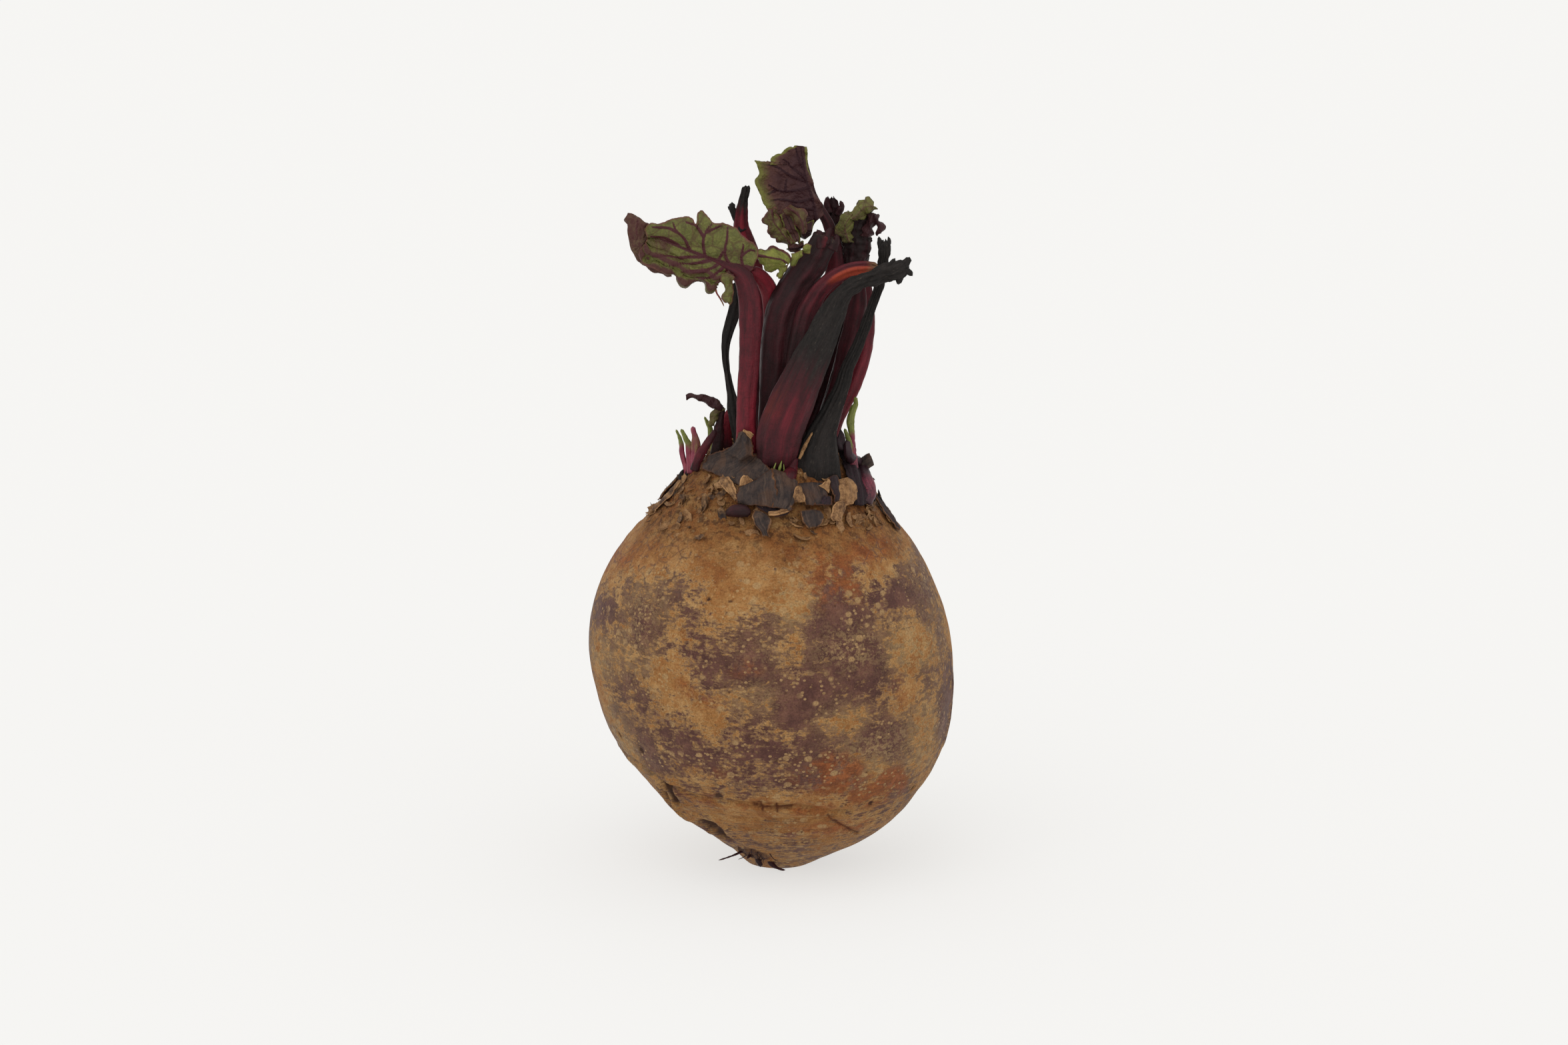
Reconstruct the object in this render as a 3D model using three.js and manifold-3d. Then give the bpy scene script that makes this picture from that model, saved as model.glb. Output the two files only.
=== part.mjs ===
// A mature beetroot as picked, standing upright on the small flat spot under its root.
// Millimetres, +Z up. The origin is the centre of the flat spot, on the surface it rests on.
// -Y is the front, +X is to the right.
import * as THREE from 'three';
import { mergeVertices } from 'three/addons/utils/BufferGeometryUtils.js';
import Module from 'manifold-3d';

const wasm = await Module();
wasm.setup();

// ---- driving dimensions -------------------------------------------------------------------
const girth = 88;            // widest part of the root, left to right
const rootHeight = 105;      // rest surface to the top of the crown
const flatRadius = 8;        // the flat spot that the root stands on
const depthRatio = 0.97;     // the root is a little slimmer front to back
const leafThickness = 1.0;   // blades, as closed solids
const scaleThickness = 0.9;  // papery scales on the crown
const topShare = 0.98;       // height of the stalks and leaves, as a share of the routes below
const topFrom = 100;         // ... counted from this height
const gap = 0.3;             // clearance that a piece keeps from the ones it touches
const rootColumns = 44;
const rootRows = 30;

const front = [0, -1, 0];

// ---- materials ----------------------------------------------------------------------------
function material(colour, roughness = 0.75) {
  return new THREE.MeshStandardMaterial({ color: colour, roughness, metalness: 0 });
}

const cork = material(0x96704a, 0.85);
const maroon = material(0x5a1c2c, 0.5);
const plum = material(0x43202b, 0.6);
const redStalk = material(0x74203a, 0.45);
const wilted = material(0x24272a, 0.7);
const blade = material(0x4f6a35, 0.6);
const purpleBlade = material(0x4e3440, 0.65);
const papery = material(0x6d6055, 0.85);
const paleScale = material(0xb08c5e, 0.85);
const freshShoot = material(0x7a8a3a, 0.55);
const pinkShoot = material(0x99365a, 0.5);

// ---- the root's shape ---------------------------------------------------------------------
// Half width, height and sideways drift of the outline, from the crown's middle down to the flat.
const halfGirth = girth / 2;
const outline = new THREE.CatmullRomCurve3([
  [0, 1, -0.5], [0.18, 0.996, -0.5], [0.32, 0.978, -0.6], [0.455, 0.926, -0.8], [0.59, 0.857, -1.6],
  [0.823, 0.745, -2.3], [0.959, 0.622, -2.2], [1, 0.495, -1.4], [0.93, 0.315, 0.6],
  [0.697, 0.162, 2.6], [0.44, 0.07, 3.6], [flatRadius / halfGirth, 0, 0.5],
].map(([half, rise, drift]) => new THREE.Vector3(half * halfGirth, rise * rootHeight, drift)),
false, 'centripetal');

// A point on the root at an angle round it (0 is +X, -90 the front) and a share of the outline.
function rootPoint(angle, share, grow = 0) {
  const at = outline.getPoint(share);
  const slope = outline.getTangent(share);
  const half = at.x + grow * Math.abs(slope.y);
  const height = Math.max(0, at.y) + (share < 0.5 ? grow : -grow) * Math.abs(slope.x);
  const turn = THREE.MathUtils.degToRad(angle);
  return new THREE.Vector3(
    at.z + half * Math.cos(turn), half * depthRatio * Math.sin(turn), height);
}

// The same on the crown, by its distance from the crown's middle, lifted off the skin.
function onCrown(angle, radius, lift) {
  let low = 0;
  let high = 0.6;
  for (let i = 0; i < 24; i += 1) {
    const middle = (low + high) / 2;
    if (outline.getPoint(middle).x < radius) low = middle;
    else high = middle;
  }
  return rootPoint(angle, low, lift).toArray();
}

// A sphere whose rows follow the outline; its last row of faces is the flat spot.
function rootGeometry(grow = 0) {
  const shape = new THREE.SphereGeometry(1, rootColumns, rootRows);
  const place = shape.attributes.position;
  for (let i = 0; i < place.count; i += 1) {
    const polar = Math.acos(THREE.MathUtils.clamp(place.getY(i), -1, 1)) / Math.PI;
    const angle = THREE.MathUtils.radToDeg(Math.atan2(-place.getZ(i), place.getX(i)));
    const share = polar * rootRows / (rootRows - 1);
    const point = rootPoint(angle, Math.min(1, share), grow);
    if (share < 1e-4) point.set(outline.getPoint(0).z, 0, rootHeight + grow);
    if (share > 1.001) point.set(0, 0, -grow);
    place.setXYZ(i, point.x, point.y, point.z);
  }
  return shape;
}

// ---- stalks, blades, scales and shoots ----------------------------------------------------
// A value that changes evenly along a strand, from a list or a single number.
function along(values, share) {
  if (typeof values === 'number') return values;
  const place = share * (values.length - 1);
  const step = Math.min(Math.floor(place), values.length - 2);
  return THREE.MathUtils.lerp(values[step], values[step + 1], place - step);
}

// A closed tube along a route. Its section is an ellipse, left and right half widths by thick,
// whose width lies across the direction it faces; cup bends the section's edges backwards.
function strand({ route, left, right = left, thick, cup = 0, facing = front, sides = 8, steps = 12 },
  grow = 0) {
  const places = route.map(([x, y, z]) => (
    new THREE.Vector3(x, y, z > topFrom ? topFrom + (z - topFrom) * topShare : z)));
  const path = new THREE.CatmullRomCurve3(places, false, 'centripetal');
  const face = new THREE.Vector3(...facing).normalize();
  const shape = new THREE.CylinderGeometry(1, 1, 1, sides, steps);
  const place = shape.attributes.position;
  for (let i = 0; i < place.count; i += 1) {
    const share = THREE.MathUtils.clamp(place.getY(i) + 0.5, 0, 1);
    const side = place.getX(i);
    const tangent = path.getTangentAt(share);
    const across = tangent.clone().cross(face).normalize();
    const outward = across.clone().cross(tangent);
    const half = along(side < 0 ? left : right, share) + grow;
    const deep = along(thick, share) / 2 + grow;
    const bend = along(cup, share) * side * side;
    const end = share === 0 ? -grow : grow * Math.floor(share);
    const point = path.getPointAt(share)
      .addScaledVector(across, side * half)
      .addScaledVector(outward, place.getZ(i) * deep - bend)
      .addScaledVector(tangent, end);
    place.setXYZ(i, point.x, point.y, point.z);
  }
  return shape;
}

// ---- solids -------------------------------------------------------------------------------
function solidOf(shape) {
  shape.deleteAttribute('normal');
  shape.deleteAttribute('uv');
  const merged = mergeVertices(shape, 1e-4);
  return new wasm.Manifold(new wasm.Mesh({
    numProp: 3,
    vertProperties: new Float32Array(merged.attributes.position.array),
    triVerts: new Uint32Array(merged.index.array),
  }));
}

function geometryOf(solid) {
  const { vertProperties, triVerts } = solid.getMesh();
  const shape = new THREE.BufferGeometry();
  shape.setAttribute('position', new THREE.BufferAttribute(vertProperties, 3));
  shape.setIndex(new THREE.BufferAttribute(triVerts, 1));
  shape.computeVertexNormals();
  return shape;
}

function meet(a, b) {
  return [0, 1, 2].every((i) => a.min[i] < b.max[i] && b.min[i] < a.max[i]);
}

const beetroot = new THREE.Group();
beetroot.name = 'beetroot';
const keepOut = [];   // each finished piece, grown by the gap

// Adds one piece, joined from its shapes and cut back from the pieces made before it.
function addPiece(name, finish, shapes) {
  const joined = (grow) => shapes.map((make) => solidOf(make(grow))).reduce((a, b) => a.add(b));
  let solid = joined(0);
  for (const other of keepOut) {
    if (meet(solid.boundingBox(), other.box)) solid = solid.subtract(other.solid);
  }
  const parts = solid.decompose();
  parts.sort((a, b) => b.volume() - a.volume());
  const mesh = new THREE.Mesh(geometryOf(parts[0]), finish);
  mesh.name = name;
  beetroot.add(mesh);
  const grown = joined(gap);
  keepOut.push({ solid: grown, box: grown.boundingBox() });
}

function addStrand(name, finish, ...specs) {
  addPiece(name, finish, specs.map((spec) => (grow) => strand(spec, grow)));
}

// ---- root ---------------------------------------------------------------------------------
addPiece('root', cork, [rootGeometry]);

// ---- leaf stalks --------------------------------------------------------------------------
addStrand('stalk_centre', plum, {
  route: [[-0.6, -12.6, 100], [0.1, -15, 106.5], [0.8, -15.8, 112], [2.8, -16, 117.4], [5, -16, 122.5],
    [7.3, -16, 127.7], [9.5, -16, 132.8], [11.8, -16, 138], [14.1, -16, 143.1], [16.2, -16, 146.4],
    [19.5, -16, 148.6], [23.5, -16, 150.1], [27.3, -16, 151.4], [30.8, -16, 152.8]],
  left: [3.1, 4.5, 5.2, 5.3, 5.1, 4.7, 4.3, 3.8, 3.3, 2.7, 1.9, 1.7, 2.2, 1.7],
  thick: [4, 6, 6.5, 6.5, 6.5, 6, 5.5, 5.2, 4.8, 4.4, 3.6, 3.2, 3.6, 2.4],
  sides: 10, steps: 20,
});
addStrand('stalk_right_thin', wilted, {
  route: [[9.4, -12.2, 98], [9.5, -12.4, 102], [9.9, -12, 106], [11.2, -11.5, 111.1], [13.3, -11, 116.1],
    [15.4, -10.5, 121.1], [16.9, -10, 126.2], [19.1, -9.5, 131.2], [21, -9, 136.2], [22.7, -8.6, 141.3],
    [24.4, -8.2, 146.3], [25.3, -7.8, 151.4], [25.6, -7.5, 157]],
  left: [5.8, 5.2, 4.2, 2.8, 2.3, 1.8, 1.5, 1.3, 1.25, 1.1, 1.05, 1.05, 1.15, 1.4],
  thick: [5.5, 5, 4.4, 3.8, 3.4, 3, 2.6, 2.4, 2.2, 2, 1.9, 1.8, 2, 2.4],
  sides: 8, steps: 20,
});
addStrand('stalk_centre_red', redStalk, {
  route: [[4.5, -7, 102.5], [4.4, -8.6, 112], [4.8, -9.4, 123], [6, -9.8, 133], [7.2, -9.9, 139.5],
    [10, -10, 145.2], [13.3, -10.2, 148.4], [17, -10.6, 150.4], [20.5, -11, 151.1], [24, -11, 151]],
  left: [2.3, 2.5, 2.8, 3.1, 3.2, 3, 2.4, 1.9, 1.8, 1.5],
  thick: [4, 4, 4, 4, 3.8, 3.6, 3.4, 3.2, 3, 2.6],
  steps: 16,
});
addStrand('stalk_left', redStalk, {
  route: [[-7, -9, 100], [-7.3, -11.5, 108], [-7.2, -12.5, 118], [-6.6, -12.5, 128], [-6.3, -12.3, 137],
    [-6.6, -11.8, 144.5], [-8.4, -11.4, 149.5], [-11.5, -11, 151.4], [-15, -10.8, 153.2], [-22, -10.6, 156.3]],
  left: [3, 2.6, 2.3, 2.25, 2.4, 2.5, 2.7, 2.6, 2, 1.3, 0.7],
  thick: [4.5, 4.4, 4.2, 4.2, 4.2, 4.2, 4, 3.6, 2.6, 1.8, 1.2],
  steps: 18,
});
addStrand('stalk_centre_left', plum, {
  route: [[-1, -5, 102], [-1.2, -7, 110.5], [-0.4, -7.6, 122], [0.4, -7.4, 133], [1.6, -6.8, 140],
    [4.6, -5.8, 146], [8.2, -5, 150.8], [10.5, -4.6, 154.8], [11.8, -4.4, 157.9]],
  left: [3.3, 3.4, 3.6, 4, 4.2, 4, 3.8, 3.7, 2.8],
  thick: [4.5, 5, 5, 4.8, 4.6, 4.4, 4.4, 4.4, 3.6],
  steps: 15,
});
addStrand('stalk_behind_left', redStalk, {
  route: [[-2.5, -0.5, 103], [-2, -1, 112], [-1.6, -1.6, 123], [-1.3, -2.2, 133], [-1.3, -3.2, 140.5],
    [-2.2, -5, 145.5], [-4.3, -7, 148.6], [-6.2, -8.2, 150]],
  left: [2.2, 2.2, 2.2, 2.1, 2.1, 2.1, 2, 1.4],
  thick: [3.6, 3.4, 3.2, 3.2, 3.2, 3.2, 3, 2.2],
});
addStrand('stalk_right_outer', redStalk, {
  route: [[10.5, 1.5, 98], [12.4, 2, 105.7], [14.9, 2, 112.9], [17.6, 1.8, 118.1], [19.4, 1.4, 123.3],
    [20.6, 1, 128.6], [21.2, 0.6, 133.8], [21.1, 0.3, 139], [20.8, 0, 144.3], [20.2, 0, 149]],
  left: [2.4, 2.2, 2.1, 2.1, 2.2, 2.2, 2.2, 2.1, 1.7],
  thick: [3.8, 3.6, 3.4, 3.4, 3.4, 3.2, 3, 2.6, 2.2],
});
addStrand('stalk_right_inner', redStalk, {
  route: [[10, -2.5, 102], [12.8, -3.4, 113], [14.6, -3.8, 119.5], [15.9, -4, 124.6], [16.9, -4, 129.8],
    [18.2, -4, 135], [19.2, -3.6, 140], [19.4, -3, 146]],
  left: [2.6, 2.7, 2.7, 2.6, 2.5, 2.4, 1.8],
  thick: [4, 4, 4, 3.8, 3.6, 3.2, 2.4],
});
addStrand('stalk_top', redStalk, {
  route: [[2.5, 2, 103], [4, 2.5, 114], [7.6, 3, 127], [11.6, 2.8, 138.5], [13.8, 2.2, 147.5],
    [13.6, 1.8, 154.5], [12, 1.5, 160.3], [9.9, 1.3, 163.9], [8.3, 1.2, 167.5], [7.2, 1.1, 172.5],
    [6.5, 1, 176.8]],
  left: [2.6, 2.6, 2.5, 2.5, 2.6, 2.6, 2.2, 1.6, 1.2, 0.9, 0.6],
  thick: [4, 4, 4, 4, 3.8, 3.4, 2.8, 2.2, 1.8, 1.4, 1.1],
  steps: 18,
});
addStrand('stalk_back_right', plum, {
  route: [[7, 8, 102.5], [10.5, 9, 112], [13.5, 9, 124], [16.5, 8.4, 136], [18.6, 7.4, 146], [20, 6.4, 155]],
  left: [2.8, 2.8, 2.8, 2.9, 3, 2.4],
  thick: [4, 4, 4, 4, 3.6, 2.8],
});
addStrand('stalk_back_left', maroon, {
  route: [[-4, 5, 103.5], [-4.5, 5.6, 116], [-4.9, 5.6, 130], [-5.4, 5, 141], [-6.4, 4.6, 149],
    [-7.6, 4.2, 154], [-8.4, 4, 158], [-8.5, 3.8, 161], [-8.2, 3.6, 164], [-7.7, 3.4, 166.5],
    [-7.6, 3.2, 168.6]],
  left: [2.4, 2.5, 2.5, 2.5, 2.5, 2.5, 2.5, 2.6, 2.7, 2.9, 2.8, 2, 1.3, 1],
  thick: [3.6, 3.6, 3.6, 3.6, 3.6, 3.5, 3.4, 3.4, 3.2, 3, 2.6, 2, 1.4],
  steps: 17,
}, {
  route: [[-8.6, 4, 158], [-9.9, 3.8, 161.2], [-10.6, 3.8, 164]],
  left: [1.1, 0.8, 0.8], thick: [1.6, 1.4, 1.3], sides: 6, steps: 4,
});
addStrand('stalk_ribbon', wilted, {
  route: [[-9.5, -4.5, 101.5], [-9.8, -5, 109], [-10.4, -5, 114.4], [-11.1, -4.8, 119.6],
    [-12.1, -4.6, 124.8], [-12.4, -4.4, 129], [-12.1, -4.2, 132], [-11.3, -3.8, 135.1],
    [-10.3, -3.4, 138.6], [-9.9, -3, 142], [-9.8, -2.6, 146]],
  left: [1, 0.7, 1.2, 1.5, 1, 0.8, 0.9, 1.2, 1.4, 1.2, 0.9],
  thick: [1.5, 1.4, 1.4, 1.4, 1.4, 1.4, 1.4, 1.4, 1.2],
  sides: 6, steps: 14,
});
addStrand('stalk_tip', wilted, {
  route: [[11, 13.5, 99.5], [13.2, 14.2, 112], [14.6, 14.2, 127], [15, 13.4, 140], [14.6, 12, 151],
    [13.8, 11, 158], [13.5, 10.4, 164.2]],
  left: [1.8, 1.7, 1.5, 1.4, 1.6, 2.3, 2.1, 1.1],
  thick: [2.6, 2.4, 2.2, 2, 1.8, 1.6, 1.4, 1],
  sides: 6,
});

// ---- leaf blades --------------------------------------------------------------------------
// The left blade lies over its midrib, with a rolled tip behind and a torn lobe that hangs down.
addStrand('leaf_left', blade, {
  route: [[-4.6, -13.4, 150.2], [-9.7, -13.7, 151.9], [-14.6, -13.8, 153.5], [-22, -13.6, 156.2],
    [-27.6, -13, 158.5], [-32, -12, 161]],
  left: [0.8, 1.6, 4.2, 6.2, 8.2, 7.6, 6.6, 6.2, 3],
  right: [5.4, 8.2, 9.4, 9.8, 8.4, 7.4, 5.6, 3.6, 1.4],
  thick: leafThickness * 1.1, cup: [1, 1.6, 1.8, 2, 2.2, 2.2, 2, 1.6, 0.6],
  facing: [0, -1, 0.15], sides: 14, steps: 14,
}, {
  route: [[-27.6, -12.6, 152.6], [-32.2, -11.4, 155.4], [-34.6, -10, 159.4], [-36, -8.8, 163.6]],
  left: [2.6, 2.6, 1.8, 0.9], right: [2.8, 4, 3.6, 1.2],
  thick: leafThickness * 1.3, cup: 0.6, facing: [-0.2, -1, 0], sides: 10, steps: 7,
}, {
  route: [[-14.6, -14.2, 151.6], [-13.8, -13.2, 148.6], [-12.8, -12.4, 145.4], [-12.2, -11.8, 142.4]],
  left: [2.2, 2.1, 1.8, 0.8], thick: leafThickness * 1.3, cup: 0.4, sides: 8, steps: 6,
});
addStrand('leaf_curl', blade, {
  route: [[-3.4, -9.2, 152.5], [-0.8, -9.8, 154.2], [2, -9.4, 153.4], [3.6, -8.4, 151]],
  left: [1, 2.6, 3, 1.6], right: [1.2, 2.8, 3.2, 1.8],
  thick: leafThickness * 1.2, cup: [0.4, 1.2, 1.2, 0.5], sides: 10, steps: 8,
});
addStrand('leaf_top', purpleBlade, {
  route: [[4.6, -1.6, 160.5], [3.6, -2, 165.5], [2, -2, 170], [2.4, -1.6, 174.4], [4.8, -1.2, 177.2],
    [5.8, -1, 179]],
  left: [6, 6.6, 6.8, 6.2, 6.8, 5.4, 3.2, 1.8],
  right: [6.6, 6.2, 6, 6.2, 5.6, 4.2, 3, 1.6],
  thick: leafThickness * 1.1, cup: 1.6, facing: [0.1, -1, 0], sides: 14, steps: 12,
}, {
  route: [[3.6, -2.6, 164], [2.6, -4.2, 159.6], [3.2, -4.6, 156.4], [4.6, -3.8, 153.6]],
  left: [3.4, 4.4, 3.2, 1.2], thick: leafThickness * 1.3, cup: 1.2, sides: 10, steps: 7,
});
addStrand('leaf_right', purpleBlade, {
  route: [[18.8, 2.6, 153.5], [19.6, 1.8, 159], [21.2, 1.4, 163.2], [21.6, 1.2, 166]],
  left: [2.2, 4.4, 4, 1.4], right: [2.4, 4.2, 3.4, 1.4],
  thick: leafThickness * 2, cup: 1.4, sides: 10, steps: 8,
}, {
  route: [[22.4, 1, 163], [24.8, 0.4, 160.6], [25.2, 0.2, 157]],
  left: [1.4, 1.6, 1], thick: leafThickness * 1.6, sides: 8, steps: 5,
});

// ---- dried sheaths round the stalk bases --------------------------------------------------
// A sheath flares from its foot on the crown to a collar round a stalk.
function sheath(angle, footRadius, footHalf, top, topHalf, cups, facing) {
  const foot = onCrown(angle, footRadius, 1.2);
  const heel = onCrown(angle, footRadius - 3.5, 1.9);
  return {
    route: [foot, heel, top], left: [footHalf, footHalf * 0.78, topHalf * 1.25, topHalf],
    thick: scaleThickness * 1.2, cup: cups, facing, sides: 12, steps: 7,
  };
}

addStrand('sheath_left', papery,
  sheath(-117, 20, 9.6, [-7.2, -14.9, 109.4], 3, [4, 3.4, 3, 2.4], [-0.35, -1, 0.3]));
addStrand('sheath_front', papery,
  sheath(-92, 25, 8.2, [-2.2, -18.8, 101.6], 5.6, [3.4, 2.8, 1.6, 1], [0, -1, 0.6]));
addStrand('sheath_right', papery,
  sheath(-38, 20, 5.4, [15.6, -8.2, 105], 2.6, [2, 1.4, 1, 0.8], [0.8, -0.8, 0.3]));
addStrand('sheath_back_left', papery,
  sheath(116, 20, 8.2, [-5.6, 8.6, 110], 3, [4, 3.4, 2.8, 2.2], [-0.3, 1, 0.3]));
addStrand('sheath_back_right', papery,
  sheath(52, 20.5, 8.6, [9.2, 12, 109.6], 3.2, [4, 3.4, 2.8, 2.2], [0.4, 1, 0.3]));

// ---- young shoots and buds ----------------------------------------------------------------
addStrand('bud_left', pinkShoot, {
  route: [onCrown(-114, 25, 0.4), onCrown(-109, 24.4, 2), onCrown(-104, 23.6, 2.6)],
  left: [1.4, 2.1, 1.1], thick: [2, 3.2, 1.8], facing: [-0.3, -1, 0.6], steps: 6,
});
addStrand('bud_right', pinkShoot, {
  route: [[20.4, -9.4, 91], [20.2, -9.4, 95], [18.6, -8.6, 99.5], [16.9, -7.6, 104], [16.6, -6.6, 109]],
  left: [2, 2.1, 1.5, 1.3, 0.6], thick: [3, 3.4, 2.6, 2.2, 1], facing: [0.6, -1, 0.2], steps: 9,
});
addStrand('shoot_right_green', freshShoot, {
  route: [[19.4, -3, 97], [18.7, -2.6, 103.4], [18.1, -2.2, 109], [18.5, -2, 113], [19.3, -2, 115.4],
    [18.9, -2, 117.3]],
  left: [1.1, 0.8, 0.8, 1, 0.9, 0.4], thick: [1.8, 1.6, 1.3, 1.2, 0.8], sides: 6, steps: 10,
});
addStrand('shoot_right_small', freshShoot, {
  route: [[20.6, -5.8, 97.4], [19, -5.2, 102], [17.9, -4.9, 105.2], [16.6, -4.6, 109.4]],
  left: [1, 0.9, 0.9, 0.4], thick: [1.6, 1.5, 1.2, 0.7], sides: 6, steps: 6,
});
addStrand('stub_right', papery, {
  route: [[18.6, 0.6, 96.5], [20.6, 0.6, 99.2], [22.7, 0.4, 101.2]],
  left: [1.6, 1.7, 1.5], thick: [1.6, 1.4, 1.2], sides: 6, steps: 4,
});
addStrand('hook_right', wilted, {
  route: [[22.8, -2.6, 91], [22.8, -2.4, 94.6], [22.8, -2.4, 96.6], [23.6, -2.4, 97.4]],
  left: [0.9, 0.7, 0.45, 0.35], thick: [1.4, 1.1, 0.9, 0.7], sides: 6, steps: 6,
});
addStrand('spike_right', wilted, {
  route: [[25.8, -1.4, 88.5], [25.2, -1.2, 91.4], [24.7, -1.2, 94]],
  left: [0.8, 0.6, 0.3], thick: [1.2, 1, 0.6], sides: 6, steps: 4,
});
addStrand('shoot_left_outer', pinkShoot, {
  route: [[-21.4, 1.6, 94.5], [-22, 1.4, 99], [-22.8, 1.2, 103.6], [-24, 1, 108]],
  left: [0.9, 0.8, 0.6, 0.35], thick: [1.6, 1.4, 1.1, 0.7], sides: 6, steps: 7,
});
addStrand('shoot_left_middle', pinkShoot, {
  route: [[-20, -0.8, 95.6], [-20.6, -0.6, 100], [-21.2, -0.4, 104.4], [-23, -0.2, 108.4]],
  left: [0.9, 0.9, 0.8, 0.4], thick: [1.6, 1.5, 1.2, 0.7], sides: 6, steps: 7,
});
addStrand('shoot_left_inner', pinkShoot, {
  route: [[-19.2, -3.2, 96.4], [-19.4, -3, 101], [-19.5, -2.6, 105.8], [-20.2, -2.4, 109.2]],
  left: [1, 1, 0.9, 0.5], thick: [1.6, 1.5, 1.2, 0.8], sides: 6, steps: 7,
});
addStrand('shoot_left_dark', plum, {
  route: [[-19.6, -5.6, 97], [-18.5, -5.4, 102.4], [-16.9, -5.4, 105.7], [-14.7, -5.4, 109]],
  left: [1, 1, 0.9, 0.6], thick: [1.6, 1.5, 1.3, 0.9], sides: 6, steps: 7,
});
addStrand('shoot_left_leafy', wilted, {
  route: [[-15.2, -2.4, 99], [-14.3, -2.6, 104.5], [-13.2, -3, 110], [-14.2, -3.6, 114.2],
    [-17.2, -4, 116.6], [-21.6, -4, 117.8]],
  left: [1.3, 1.3, 1.1, 1.2, 1.4, 1.4, 0.5], thick: [1.8, 1.8, 1.5, 1.1, 1, 0.9, 0.6], steps: 14,
});
addStrand('shoot_left_red', redStalk, {
  route: [[-12.4, 1.4, 101.5], [-12.6, 0.8, 107], [-11.9, 0.2, 111], [-10.8, 0, 115]],
  left: [1.3, 1.2, 1, 0.5], thick: [2, 1.8, 1.4, 0.8], sides: 6, steps: 6,
});
addStrand('shoot_back', redStalk, {
  route: [[1, 15.5, 98.5], [1.6, 16.4, 104], [2.6, 16.6, 109.5], [3, 15.8, 114.5]],
  left: [1.3, 1.2, 1, 0.5], thick: [2, 1.8, 1.4, 0.8], sides: 6, steps: 6,
});
addStrand('shoot_back_left', freshShoot, {
  route: [[-15, 10.5, 96.5], [-16, 11, 101], [-16.2, 11.2, 105.6], [-17.6, 11.2, 109]],
  left: [1, 0.9, 0.8, 0.4], thick: [1.6, 1.4, 1.1, 0.7], sides: 6, steps: 6,
});

// ---- papery scales left by older leaves ---------------------------------------------------
// Each scale is rooted at its low outer end and lies up the crown, with its free end lifted.
function crownScale([angle, low, high, half, swing, lift]) {
  const middle = (low + high) / 2;
  const turn = THREE.MathUtils.degToRad(angle + swing / 2);
  return {
    route: [onCrown(angle, low, 0.9), onCrown(angle + swing / 2, middle, 1.2 + lift / 3),
      onCrown(angle + swing, high, 1 + lift)],
    left: [half * 0.7, half, half * 0.8, half * 0.35],
    thick: scaleThickness, cup: [half * half / 60, half * half / 52, 0.3],
    facing: [Math.cos(turn), Math.sin(turn), 0.8], sides: 8, steps: 5,
  };
}

// Angle round the crown, low and high end by distance from its middle, half width, swing, lift.
const scales = [
  [-128, 26.5, 20.5, 4.2, 6, 1.2], [-100, 28.5, 25.6, 2.6, -6, 1.4], [-76, 27.5, 22, 3, 4, 1.6],
  [-62, 27, 21, 3.6, -3, 1.4], [-47, 26.5, 20, 3, 4, 1.8], [-32, 27, 21.5, 2.8, 3, 1.2],
  [-8, 30, 23.5, 3.6, 4, 0.6], [18, 26.5, 20, 3.4, 5, 1.4], [40, 28.5, 22, 3.6, -4, 1.4],
  [78, 27, 20.5, 3.6, 5, 1.6], [104, 28.5, 22.5, 3.2, -4, 1.2], [136, 27, 20.5, 3.8, 4, 1.4],
  [160, 27.5, 21, 3.4, -5, 1.4], [184, 28, 22.5, 3.4, 4, 1],
];
scales.forEach((scale, i) => {
  addStrand(`crown_scale_${i + 1}`, i % 3 === 1 ? paleScale : papery, crownScale(scale));
});

// ---- rootlets at the tail scar ------------------------------------------------------------
addStrand('rootlet_long', plum, {
  route: [[-8.2, -10.4, 5.3], [-9.8, -12, 5], [-11.5, -13, 4.6], [-14.2, -14, 4]],
  left: [0.7, 0.6, 0.5, 0.4], thick: [1.4, 1.2, 1, 0.8], sides: 6, steps: 7,
});
addStrand('rootlet_short', plum, {
  route: [[-6.2, -11.2, 5], [-6.6, -12.4, 4.7], [-7.2, -13.8, 4.3]],
  left: [0.7, 0.6, 0.4], thick: [1.4, 1.2, 0.8], sides: 6, steps: 5,
});
addStrand('rootlet_thick', plum, {
  route: [[-4.8, -10.4, 4.1], [-4.4, -11.1, 2.8], [-3.9, -11.1, 1.4]],
  left: [0.9, 0.8, 0.6], thick: [1.8, 1.6, 1.2], sides: 6, steps: 5,
});
addStrand('rootlet_hooked', plum, {
  route: [[-2.2, -10, 3.6], [-1.2, -11, 2.1], [0.2, -11.8, 1.3], [2, -12.4, 1]],
  left: [0.9, 0.7, 0.6, 0.4], thick: [1.8, 1.4, 1.2, 0.8], sides: 6, steps: 7,
});

export default beetroot;
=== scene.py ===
# %% [markdown]
# # A mature beetroot
# A beetroot is a swollen root that carries a crown of leaf stalks. This one has been out of the
# ground for a while: corky tan skin lies in patches over plum skin, the crown is covered with
# the papery feet of old leaves, and most of the stalks are wilted. The CAD model fixes where
# every piece is and how big it is. This lesson gives each piece its fine shape and its finish.

import math

import bpy
import numpy as np
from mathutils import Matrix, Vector, noise


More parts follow.
